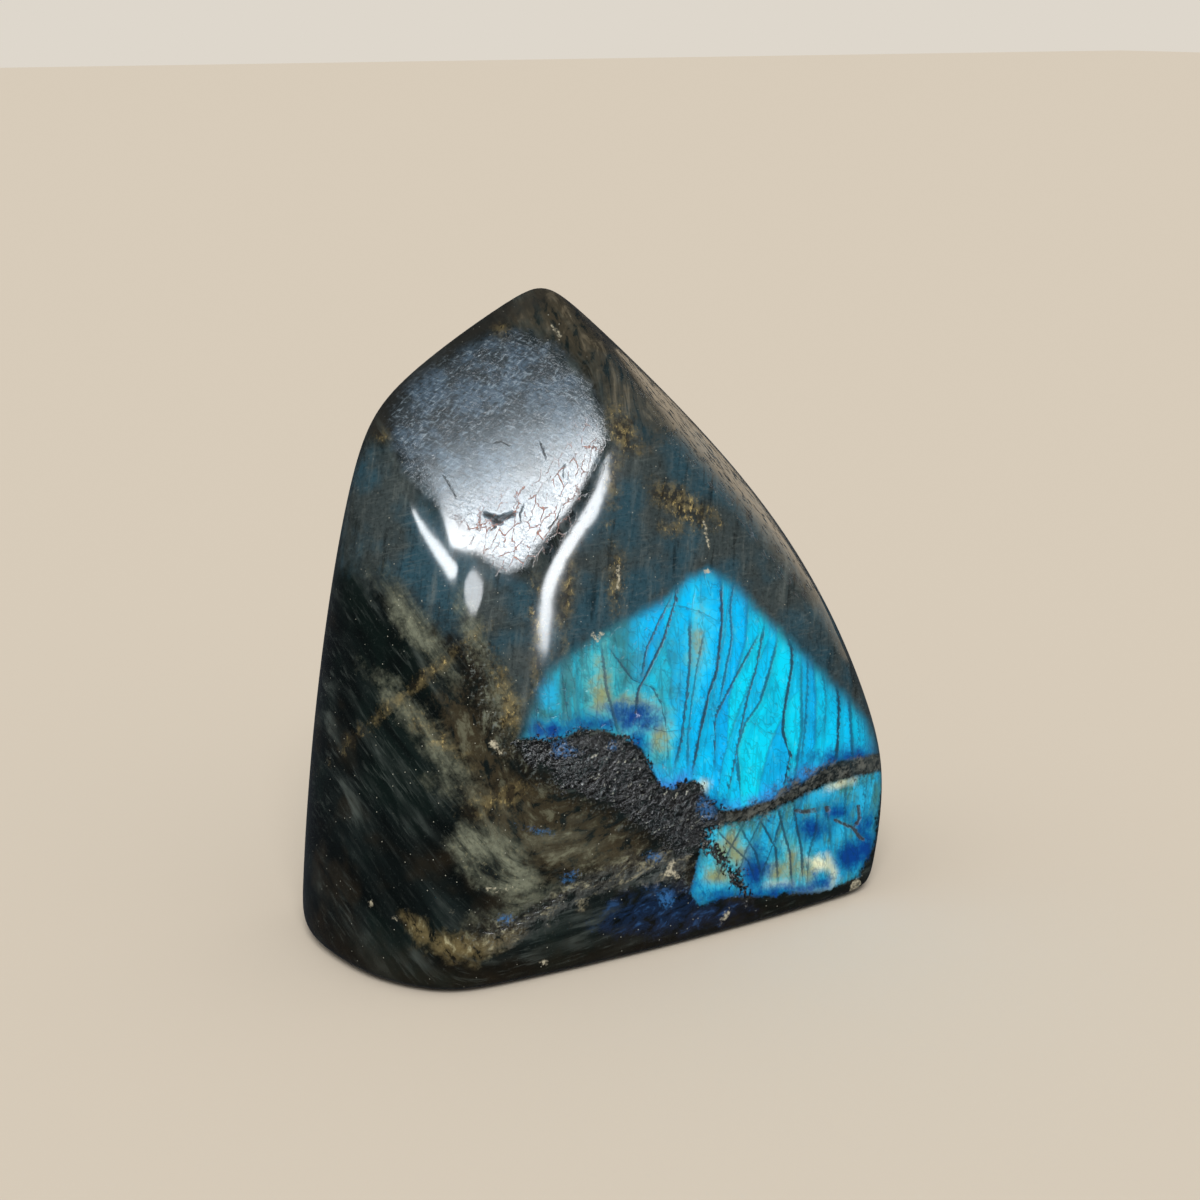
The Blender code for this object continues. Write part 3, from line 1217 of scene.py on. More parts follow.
class StoneFinish:
    """The stone's one material."""

    name = "labradorite"

    def __init__(self, view: PhotoView) -> None:
        """Start an empty material.

        Args:
            view: the photograph's viewpoint, whose axes the patterns are turned to.
        """
        self.flash = FlashColours()
        self.body = BodyColours()
        self.gloss = Gloss()
        self.heights = BumpHeights()
        self.material = bpy.data.materials.new(self.name)
        self.material.use_nodes = True
        self.material.node_tree.nodes.clear()
        self.bench = NodeBench(self.material.node_tree)
        self.place = self.picture_place(view)
        self.wander = self.bench.less(self.bench.noise(self.place, 0.32, 4.0, 0.55), 0.5)
        self.shiver = self.bench.less(self.bench.noise(self.place, 1.6, 4.0, 0.6), 0.5)

    def picture_place(self, view: PhotoView) -> Socket:
        """Object coordinates in millimetres, with X to the right, Y up and Z out of the picture.

        Args:
            view: the photograph's viewpoint.

        Returns:
            The coordinates.
        """
        right, up, into = view.axes()
        turn = Matrix((right, up, -into)).to_euler("XYZ")
        given = {
            "Vector": self.bench.node("ShaderNodeTexCoord").outputs["Object"],
            "Rotation": turn,
            "Scale": (1.0 / MM, 1.0 / MM, 1.0 / MM),
        }
        return self.bench.node("ShaderNodeMapping", given, vector_type="POINT").outputs[0]

    def inside(self, mark: Mark, softness: float, wander: float = 0.0, shiver: float = 0.0,
               grow: float = 0.0) -> Socket:
        """Say how much of a marking covers each point, 0 to 1.

        Args:
            mark: the marking.
            softness: how wide its edge is, in millimetres.
            wander: how far the edge strays in slow curves, in millimetres.
            shiver: how far the edge strays in small steps, in millimetres.
            grow: how much larger than its outline the marking is drawn, in millimetres.

        Returns:
            The cover.
        """
        depth = self.bench.attribute(mark.value).outputs["Fac"]
        if wander:
            depth = self.bench.number("MULTIPLY_ADD", self.wander, wander * 2.0, depth)
        if shiver:
            depth = self.bench.number("MULTIPLY_ADD", self.shiver, shiver * 2.0, depth)
        return self.bench.step(depth, -softness / 2.0 - grow, softness / 2.0 - grow)

    def marked(self, colour: Feed, over: Feed, share: float, mark: Mark, *edge: float) -> Socket:
        """Lay a colour over a marking's area.

        Args:
            colour: the colour below.
            over: the colour of the marking.
            share: how much of the colour below it hides.
            mark: the marking.
            edge: its softness, wander, shiver and growth, as inside() has them.

        Returns:
            The new colour.
        """
        return self.bench.blend(self.bench.times(self.inside(mark, *edge), share), colour, over)

    def silk_flow(self) -> Socket:
        """The coordinates that the silky streaks follow."""
        return self.bench.attribute("silk_flow").outputs["Vector"]

    def crack_numbers(self, family: CrackFamily) -> tuple[Socket, ...]:
        """Read a family's crack place, strayed a little from its smooth course, its gap and darkness.

        Args:
            family: the cracks.

        Returns:
            The three, in that order.
        """
        bench = self.bench
        number, gap, darkness = bench.parts(bench.attribute(family.name).outputs["Vector"])
        stray = bench.number("DIVIDE", bench.times(self.shiver, 0.9), gap)
        return bench.add(number, stray), gap, darkness

    def crack_lines(self, family: CrackFamily, shade: float = 0.42) -> Socket:
        """Draw one family's cracks, 1 on the line and 0 off it, with a painted shadow beside each crack on
        its right.

        Args:
            family: the cracks.
            shade: how dark the painted shadow is beside each crack, on its right.

        Returns:
            The cover.
        """
        bench = self.bench
        number, gap, darkness = self.crack_numbers(family)
        beside = bench.times(bench.less(number, bench.number("ROUND", number)), gap)
        away = bench.number("ABSOLUTE", beside)
        thinnest, thickest = 0.4 * family.half_width, 1.8 * family.half_width
        swell = bench.spread(bench.noise(self.place, 0.5, 2.0), thinnest, thickest)
        line = bench.less(1.0, bench.step(away, bench.times(swell, 0.2), swell))
        # Painted shadow beside each crack, on its right, so that the crack looks like a step
        soft = bench.less(1.0, bench.step(away, 0.0, family.half_width * 3.6))
        soft = bench.times(soft, bench.step(beside, -0.1, 0.1))
        return bench.times(bench.most(line, bench.times(soft, shade)), darkness)

    def silk_colour(self) -> Socket:
        """Dark body colour with silky streaks that bend around the lower left corner.

        Returns:
            The colour.
        """
        bench, body, flow = self.bench, self.body, self.silk_flow()
        broad = bench.noise(bench.stretched(flow, (1.0, 0.14, 0.2)), 0.13, 3.0, 0.55, 0.1)
        fine = bench.noise(bench.stretched(flow, (1.0, 0.11, 0.2)), 0.42, 4.0, 0.6, 0.3)
        calm = bench.spread(bench.step(bench.noise(self.place, 0.06, 3.0, 0.6), 0.42, 0.58), 0.25, 1.0)
        hair = bench.noise(bench.stretched(flow, (1.0, 0.07, 0.2)), 1.8, 3.0, 0.6)
        cloud = bench.noise(self.place, 0.05, 3.0, 0.6)
        grain = bench.noise(self.place, 1.6, 3.0, 0.6)
        colour = bench.coats(
            bench.blend(bench.step(broad, 0.4, 0.62), body.silk_dark, body.silk_mid),
            (cloud, 0.48, 0.62, 0.5, body.silk_green),
            (cloud, 0.48, 0.34, 0.5, body.silk_brown),
        )
        light = bench.times(bench.times(bench.step(fine, 0.46, 0.68), bench.step(broad, 0.42, 0.6)), calm)
        colour = bench.blend(bench.times(light, 0.7), colour, body.silk_light)
        colour = bench.coats(colour, (fine, 0.46, 0.32, 0.7, body.silk_dark))
        light = bench.times(bench.times(bench.step(hair, 0.52, 0.74), 0.36), calm)
        return bench.coats(
            bench.blend(light, colour, body.silk_light),
            (hair, 0.48, 0.25, 0.3, body.silk_dark),
            (grain, 0.6, 0.72, 0.16, body.silk_light),
        )

    def specks(self) -> Socket:
        """Sparse bright specks of mica, 1 on a speck.

        Returns:
            The cover.
        """
        bench = self.bench
        speck = bench.cells(self.place, 0.9)
        spot = bench.less(1.0, bench.step(speck.outputs["Distance"], 0.05, 0.13))
        return bench.times(spot, bench.step(bench.parts(speck.outputs["Color"])[0], 0.72, 0.76))

    def mist_colour(self) -> Socket:
        """Pale grey-green silk.

        Returns:
            The colour.
        """
        bench, body, flow = self.bench, self.body, self.silk_flow()
        wisp = bench.noise(bench.stretched(flow, (1.0, 0.24, 0.3)), 0.4, 5.0, 0.62, 0.3)
        hair = bench.noise(bench.stretched(flow, (1.0, 0.12, 0.3)), 2.0, 3.0, 0.6, 0.3)
        grain = bench.noise(self.place, 1.2, 4.0, 0.66)
        return bench.coats(
            bench.blend(bench.step(wisp, 0.3, 0.64), body.silk_mid, body.misty),
            (hair, 0.5, 0.3, 0.5, body.silk_mid),
            (grain, 0.5, 0.34, 0.35, body.silk_brown),
            (grain, 0.56, 0.7, 0.2, body.pale),
        )

    def grey_colour(self) -> Socket:
        """The grey upper body, with upright streaks and fine level lines.

        Returns:
            The colour.
        """
        bench, body = self.bench, self.body
        comb = bench.stretched(bench.turned(self.place, -10.0), (0.1, 1.0, 0.3))
        comb = bench.noise(comb, 1.9, 3.0, 0.6)
        upright = bench.stretched(bench.turned(self.place, 6.0), (1.0, 0.12, 0.3))
        upright = bench.noise(upright, 0.55, 4.0, 0.62, 0.2)
        cloud = bench.noise(self.place, 0.08, 3.0, 0.5)
        grain = bench.noise(self.place, 1.4, 4.0, 0.66)
        return bench.coats(
            bench.blend(bench.step(cloud, 0.4, 0.6), body.grey_body, body.grey_blue),
            (upright, 0.5, 0.76, 0.5, body.grey_light),
            (upright, 0.46, 0.3, 0.6, body.silk_dark),
            (comb, 0.52, 0.72, 0.25, body.grey_light),
            (grain, 0.5, 0.36, 0.35, body.silk_dark),
            (grain, 0.58, 0.72, 0.3, body.grey_light),
        )

    def painted_rock_light(self, colour: Socket) -> Socket:
        """Make the crumbly patch and the band look rocky with painted highlights and painted shade, as if
        lit from the upper left.

        Args:
            colour: the colour below.

        Returns:
            The new colour.
        """
        bench, body = self.bench, self.body
        band = bench.times(self.inside(Mark.BAND, 3.0, 3.0, 2.0), 0.7)
        rough = bench.times(bench.most(self.inside(Mark.CRUMBLY, 4.0, 4.0, 2.0), band), 0.6)
        lit = self.lit(self.place, bench.noise(self.place, 0.6, 6.0, 0.66))
        # Painted highlights in pale grey where the rock faces the upper left
        colour = bench.blend(bench.times(rough, bench.step(lit, 0.04, 0.14)), colour, body.grey_light)
        # Painted shade in near black where the rock faces away
        return bench.blend(bench.times(rough, bench.step(lit, -0.01, -0.08)), colour, body.pit)

    def golden(self, colour: Socket) -> Socket:
        """Lay the dull gold and its bright flecks over a colour.

        Args:
            colour: the colour below.

        Returns:
            The new colour.
        """
        bench, body = self.bench, self.body
        golden = self.inside(Mark.GOLD, 3.6, 2.6, 1.6)
        lump = bench.noise(self.place, 0.5, 4.0, 0.62)
        amber = bench.blend(bench.step(lump, 0.42, 0.6), body.silk_brown, body.gold_dull)
        colour = bench.blend(bench.times(golden, 0.75), colour, amber)
        fleck = bench.noise(bench.stretched(self.place, (1.0, 0.6, 1.0)), 1.2, 4.0, 0.68)
        fleck = bench.times(golden, bench.step(fleck, 0.56, 0.7))
        return bench.blend(bench.times(fleck, 0.75), colour, body.gold)

    def body_colour(self) -> Socket:
        """The stone without its flash: silk, grey upper body, warm apex, mists, bands and gold, and painted
        light and shade on the rocky patches.

        Returns:
            The colour.
        """
        bench, body = self.bench, self.body
        mottle = bench.stretched(self.silk_flow(), (1.0, 0.5, 0.5))
        mottle = bench.noise(mottle, 0.42, 7.0, 0.68, 0.4)
        colour = self.marked(self.silk_colour(), self.grey_colour(), 0.92, Mark.GREY_BODY, 9.0, 6.0, 0.6)
        colour = self.marked(colour, self.mist_colour(), 0.9, Mark.MISTY, 4.5, 3.0, 1.6)
        layers = (
            (0.7, Mark.APEX, (7.0, 4.0, 0.8), body.silk_mid, body.apex, body.apex_pale),
            (0.85, Mark.NAVY, (4.0, 4.0, 2.0), body.silk_dark, body.navy, body.navy_light),
            (0.85, Mark.BAND, (3.4, 4.0, 2.5), body.silk_mid, body.band_blue, body.band),
            (0.6, Mark.BROWN_SILK, (6.0, 4.0, 3.0), body.silk_mid, body.smoky_brown, body.smoky_grey),
            (0.8, Mark.PALE, (4.0, 3.0, 1.0), body.silk_dark, body.gold_dull, body.pale),
            (0.6, Mark.CRUMBLY, (5.0, 4.0, 2.0), body.silk_mid, body.silk_brown, body.misty),
        )
        for share, mark, edge, dark, middle, light in layers:
            patch = bench.blend(bench.step(mottle, 0.38, 0.5), dark, middle)
            patch = bench.blend(bench.step(mottle, 0.52, 0.66), patch, light)
            colour = self.marked(colour, patch, share, mark, *edge)
        colour = self.golden(self.painted_rock_light(colour))
        colour = self.marked(colour, body.foot_brown, 0.5, Mark.WARM_FOOT, 12.0, 5.0, 1.0)
        return bench.blend(bench.times(self.specks(), 0.6), colour, body.grain)

    def facet_colour(self) -> Socket:
        """The upper facet: steel blue, with a painted sheen that makes it paler towards its foot, and
        rubbed with short strokes.

        Returns:
            The colour.
        """
        bench, body = self.bench, self.body
        sheen_share = bench.attribute("facet_sheen_fall").outputs["Fac"]
        cloud = bench.noise(self.place, 0.14, 4.0, 0.6)
        colour = bench.blend(bench.step(cloud, 0.42, 0.58), body.facet_dark, body.facet)
        # Painted sheen: the facet pales towards its foot, under the window's highlight
        colour = bench.coats(colour, (sheen_share, 0.1, 1.0, 0.6, body.facet_pale_and_sheen))
        for turn in (24.0, -44.0):
            grit = bench.stretched(bench.turned(self.place, turn), (0.3, 1.0, 1.0))
            grit = bench.noise(grit, 1.7, 4.0, 0.7)
            colour = bench.coats(
                colour,
                (grit, 0.54, 0.68, 0.6, body.facet_pale_and_sheen),
                (grit, 0.48, 0.34, 0.85, body.facet_dark),
            )
        return colour

    def rusty_hairs(self) -> Socket:
        """Fine branching hair cracks at the facet's foot, 1 on a crack.

        Returns:
            The cover.
        """
        bench = self.bench
        warped = bench.vector_sum(self.place, bench.scaled(self.shiver, 1.2))
        net = bench.stretched(bench.turned(warped, 26.0), (1.0, 0.4, 1.0))
        net = bench.cells(net, 0.56, "DISTANCE_TO_EDGE")
        line = bench.less(1.0, bench.step(net.outputs["Distance"], 0.008, 0.034))
        rare = bench.step(bench.noise(self.place, 0.5, 3.0), 0.42, 0.56)
        return bench.times(bench.times(line, rare), self.inside(Mark.RUST, 6.0, 4.0, 1.0))

    def flash_colour(self) -> Socket:
        """The main flash: cyan and azure panels between cracks, teal to the left, violet at its foot.

        Returns:
            The colour.
        """
        bench, flash = self.bench, self.flash
        number = self.crack_numbers(FLASH_CRACKS)[0]
        leaning = self.crack_numbers(LEANING_CRACKS)[0]
        along = bench.parts(self.place)[1]
        panel = bench.chance(bench.number("FLOOR", number), bench.number("FLOOR", leaning))
        streak = bench.vector(bench.times(number, 5.0), bench.times(along, 0.07), leaning)
        streak = bench.noise(streak, 1.0, 3.0, 0.6)
        cloud = bench.noise(self.place, 0.13, 3.0, 0.55)
        fleck = bench.noise(bench.stretched(self.place, (1.0, 0.5, 1.0)), 0.9, 5.0, 0.62)
        # Each panel has its own tone at random, plus a painted highlight that makes it brightest just right
        # of its crack
        share = bench.number("FRACT", number)
        tone_and_highlight = bench.add(bench.times(panel, 0.75), bench.times(share, 0.3))
        colour = bench.coats(
            bench.blend(tone_and_highlight, flash.bright, flash.azure),
            (streak, 0.46, 0.3, 0.35, flash.shade),
            (cloud, 0.5, 0.34, 0.35, flash.shade),
            (fleck, 0.54, 0.72, 0.3, flash.pale),
            (fleck, 0.42, 0.3, 0.25, flash.shade),
        )
        teal = bench.coats(
            bench.blend(bench.step(streak, 0.42, 0.66), flash.teal, flash.teal_bright),
            (cloud, 0.54, 0.42, 0.5, flash.teal_dark),
            (fleck, 0.48, 0.34, 0.6, flash.teal_dark),
        )
        colour = self.marked(colour, teal, 0.9, Mark.TEAL, 8.0, 4.0, 1.0)
        colour = self.marked(colour, flash.violet, 0.8, Mark.VIOLET, 5.0, 3.0, 1.0)
        colour = self.coloured_spots(colour)
        rise = bench.attribute(Mark.FLASH_BELOW_TOP.value).outputs["Fac"]
        return bench.coats(colour, (rise, 3.0, -1.0, 0.8, flash.faded))

    def coloured_spots(self, colour: Socket) -> Socket:
        """Lay the olive spots with their pale halos, the cyan, the pale and the deep blue ones.

        Args:
            colour: the colour below.

        Returns:
            The new colour.
        """
        flash = self.flash
        for over, share, mark, edge in (
            (flash.pale, 0.4, Mark.OLIVE, (3.0, 3.0, 0.8, 1.6)),
            (flash.olive, 0.8, Mark.OLIVE, (3.2, 3.0, 0.9)),
            (flash.cyan, 0.85, Mark.CYAN, (2.2, 2.0, 0.9)),
            (flash.hot, 0.95, Mark.HOT, (3.0, 1.6, 0.5)),
            (flash.shade, 0.8, Mark.DEEP_BLUE, (3.0, 2.4, 1.2, 1.2)),
            (flash.deep_blue, 0.95, Mark.DEEP_BLUE, (3.0, 2.4, 1.2)),
        ):
            colour = self.marked(colour, over, share, mark, *edge)
        return colour

    def lower_flash_colour(self) -> Socket:
        """The flash under the vein: teal and olive gold with bright blue and pale spots.

        Returns:
            The colour.
        """
        bench, flash = self.bench, self.flash
        streak = bench.stretched(bench.turned(self.place, 8.0), (1.0, 0.2, 0.5))
        streak = bench.noise(streak, 0.7, 5.0, 0.66)
        cloud = bench.noise(self.place, 0.24, 4.0, 0.6)
        fleck = bench.noise(self.place, 1.4, 4.0, 0.66)
        return self.coloured_spots(bench.coats(
            bench.blend(bench.step(streak, 0.4, 0.64), flash.teal, flash.cyan),
            (cloud, 0.5, 0.64, 0.6, flash.shade),
            (cloud, 0.47, 0.34, 0.75, flash.teal_dark),
            (fleck, 0.46, 0.32, 0.45, flash.shade),
            (fleck, 0.55, 0.7, 0.3, flash.pale),
        ))

    def lit(self, place: Socket, rock: Socket) -> Socket:
        """How far a rocky noise falls to the upper left: above 0 where painted highlights go, below 0 where
        painted shade goes.
        """
        beside = self.bench.vector_sum(place, (-0.28, 0.28, 0.1))
        return self.bench.less(rock, self.bench.noise(beside, 0.6, 6.0, 0.66))

    def crumb(self) -> tuple[Socket, Socket]:
        """The crumbly matrix: its colour, with painted light, shade and glints on its crumbs, and its
        height in millimetres.

        Returns:
            The two, in that order.
        """
        bench, body = self.bench, self.body
        warped = bench.vector_sum(self.place, bench.scaled(self.shiver, 1.4))
        lit = self.lit(warped, bench.noise(warped, 0.6, 6.0, 0.66))
        patch = bench.noise(self.place, 0.22, 4.0, 0.6, 0.6)
        colour = bench.blend(bench.step(patch, 0.4, 0.58), body.pit, body.matrix)
        # Painted light on the crumbs' faces that turn to the upper left
        painted_lit_faces = bench.spread(bench.step(patch, 0.44, 0.6), 0.35, 1.0)
        painted_lit_faces = bench.times(bench.step(lit, 0.02, 0.1), painted_lit_faces)
        colour = bench.blend(painted_lit_faces, colour, body.matrix_lit_side)
        # Painted glints on the most lit crumbs
        bright = bench.step(bench.noise(self.place, 0.7, 3.0), 0.5, 0.62)
        bright = bench.times(bench.step(lit, 0.08, 0.15), bright)
        colour = bench.blend(bench.times(bright, 0.85), colour, body.grain)
        # Painted shade on the crumbs' faces that turn away
        colour = bench.blend(bench.step(lit, -0.01, -0.08), colour, body.pit)
        lumps = bench.noise(warped, 0.8, 2.5, 0.6)
        return colour, bench.times(lumps, self.heights.crumb)

    def all_cracks(self) -> Socket:
        """Every crack of the two flashes, with the painted shadow beside the named ones, and the fine ones
        between the named ones.

        Returns:
            The cover.
        """
        bench = self.bench
        lines: Feed = 0.0
        for family in CRACK_FAMILIES:
            lines = bench.most(lines, self.crack_lines(family))
        for turn, stretch, scale, width, share in (
            (0.0, (1.0, 0.1, 1.0), 0.3, 0.02, 0.3),
            (-32.0, (1.0, 0.14, 1.0), 0.42, 0.02, 0.35),
            (12.0, (0.22, 1.0, 1.0), 0.36, 0.018, 0.25),
        ):
            place = bench.turned(self.place, turn) if turn else self.place
            threads = bench.threads(bench.stretched(place, stretch), scale, width)
            lines = bench.most(lines, bench.times(threads, share))
        return lines

    def scratches(self) -> Socket:
        """The facet's few deep scratches, 1 on a scratch.

        Returns:
            The cover.
        """
        lines: Feed = 0.0
        for family in SCRATCH_FAMILIES:
            lines = self.bench.most(lines, self.crack_lines(family, 0.0))
        return lines

    def slope_scratches(self) -> Socket:
        """Broken dark scratches that run down the slope, 1 on a scratch.

        Returns:
            The cover.
        """
        bench = self.bench
        along = bench.stretched(bench.turned(self.place, 50.0), (0.14, 1.0, 0.35))
        broken = bench.step(bench.noise(self.place, 0.5, 3.0), 0.44, 0.56)
        return bench.times(bench.threads(along, 1.0, 0.05, 3.0), broken)

    def vein(self, colour: Socket) -> Socket:
        """Lay the fibrous grey vein between the two flashes over a colour.

        Args:
            colour: the colour below.

        Returns:
            The new colour.
        """
        bench, body = self.bench, self.body
        vein = self.inside(Mark.VEIN, 2.4, 3.0, 3.0)
        fibre = bench.stretched(bench.turned(self.place, -22.0), (0.4, 1.0, 1.0))
        fibre = bench.step(bench.noise(fibre, 1.1, 5.0, 0.68), 0.4, 0.62)
        patchy = bench.spread(bench.step(bench.noise(self.place, 0.3, 3.0), 0.36, 0.56), 0.45, 0.95)
        return bench.blend(bench.times(vein, patchy), colour, bench.blend(fibre, body.vein_dark, body.vein))

    def loose_spots(self, colour: Socket, sheen: Socket) -> Socket:
        """Lay the small blue spots that lie off the flash, and the cream specks, over a colour.

        Args:
            colour: the colour below.
            sheen: the cover of the two flashes.

        Returns:
            The new colour.
        """
        bench = self.bench
        spots = bench.times(self.inside(Mark.CYAN, 1.4, 0.8, 1.6), bench.less(1.0, sheen))
        broken = bench.step(bench.noise(self.place, 1.5, 4.0, 0.68), 0.42, 0.56)
        colour = bench.blend(bench.times(bench.times(spots, broken), 0.6), colour, self.flash.spot)
        cream = bench.times(self.inside(Mark.CREAM, 0.4, 0.3, 0.8), bench.spread(broken, 0.3, 1.0))
        return bench.blend(bench.times(cream, 0.9), colour, self.body.cream)

    def build(self) -> bpy.types.Material:
        """Join the layers, from the body up to the cracks, and wire them to one shader.

        Returns:
            The material.
        """
        bench, body = self.bench, self.body
        main = bench.times(
            self.inside(Mark.FLASH_BELOW_TOP, 3.0, 1.0, 0.4),
            self.inside(Mark.FLASH_ABOVE_FOOT, 0.9, 1.0, 0.8),
        )
        lower = self.inside(Mark.LOWER_FLASH, 1.0, 1.2, 0.8)
        sheen = bench.most(main, lower)
        facet = self.inside(Mark.FACET, 5.0, 1.5, 0.6)
        matrix = self.inside(Mark.MATRIX, 0.6, 3.0, 4.0)
        pit = self.inside(Mark.PIT, 0.3, 0.1, 0.25)
        rust = self.rusty_hairs()
        lines = bench.times(self.all_cracks(), sheen)
        scratch = bench.times(self.scratches(), 0.95)
        worn = bench.times(self.slope_scratches(), self.inside(Mark.SLOPE, 3.0, 2.0, 1.0))
        dents = bench.most(bench.most(pit, scratch), bench.most(rust, worn))
        crumb_colour, crumb_height = self.crumb()

        colour = bench.blend(facet, self.body_colour(), self.facet_colour())
        colour = bench.blend(bench.times(rust, 0.8), colour, body.rust)
        colour = self.marked(colour, body.rim, 0.7, Mark.FACET_RIM, 4.0, 1.0, 0.5)
        colour = bench.blend(main, colour, self.flash_colour())
        colour = bench.blend(lower, colour, self.lower_flash_colour())
        # The cracks and their painted shadow, in the crack colour
        colour = bench.blend(bench.times(lines, 0.95), colour, self.flash.crack)
        colour = bench.blend(matrix, self.vein(colour), crumb_colour)
        colour = self.loose_spots(colour, sheen)
        colour = bench.blend(bench.times(pit, 0.92), colour, body.pit)
        colour = bench.blend(scratch, colour, body.pit)
        colour = bench.blend(bench.times(worn, 0.7), colour, body.silk_dark)

        shader = bench.node("ShaderNodeBsdfPrincipled", {
            "Base Color": colour,
            "Roughness": self.roughness(facet, matrix, lines, dents),
            "Normal": self.bump(facet, matrix, crumb_height, lines, dents),
            "IOR": self.gloss.refraction,
        })
        bench.node("ShaderNodeOutputMaterial", {"Surface": shader.outputs[0]})
        return self.material

    def roughness(self, facet: Socket, matrix: Socket, lines: Socket, dents: Socket) -> Socket:
        """Mix the roughness of the polished, satin, cracked, crumbly and pitted parts.

        Args:
            facet: the cover of the satin facet.
            matrix: the cover of the crumbly matrix.
            lines: the cover of the cracks and of the painted shadow beside them.
            dents: the cover of the pits, scratches and hair cracks.

        Returns:
            The roughness.
        """
        bench, gloss = self.bench, self.gloss
        rough: Feed = gloss.polished
        layers = ((facet, gloss.satin), (lines, gloss.crack), (matrix, gloss.matrix), (dents, gloss.pit))
        for share, value in layers:
            rough = bench.mix("FLOAT", share, rough, value)
        return rough

    def bump(self, facet: Socket, matrix: Socket, crumb_height: Socket, lines: Socket,
             dents: Socket) -> Socket:
        """Raise the crumb, sink the cracks and pits and scratch the facet, in millimetres.

        Args:
            facet: the cover of the satin facet.
            matrix: the cover of the crumbly matrix.
            crumb_height: the height of the crumbs.
            lines: the cover of the cracks and of the painted shadow beside them.
            dents: the cover of the pits, scratches and hair cracks.

        Returns:
            The bent surface direction.
        """
        bench, heights = self.bench, self.heights
        scratches: Feed = 0.0
        for turn, scale in ((24.0, 1.5), (-50.0, 1.1), (66.0, 1.3)):
            place = bench.stretched(bench.turned(self.place, turn), (0.12, 1.0, 1.0))
            scratches = bench.most(scratches, bench.threads(place, scale, 0.02, 2.0))
        rubbed = bench.stretched(bench.turned(self.place, 24.0), (0.3, 1.0, 1.0))
        rubbed = bench.noise(rubbed, 1.7, 4.0, 0.6)
        sunk = bench.times(scratches, -heights.satin_scratch)
        satin = bench.add(sunk, bench.times(rubbed, heights.satin_rub))
        height = bench.times(satin, facet)
        height = bench.add(height, bench.times(crumb_height, matrix))
        height = bench.less(height, bench.times(lines, heights.crack))
        height = bench.less(height, bench.times(dents, heights.dent))
        wavy = bench.noise(self.place, 0.15, 2.0)
        height = bench.add(height, bench.times(wavy, heights.waviness))
        given = {"Strength": 1.0, "Distance": MM, "Height": height}
        return bench.node("ShaderNodeBump", given).outputs[0]


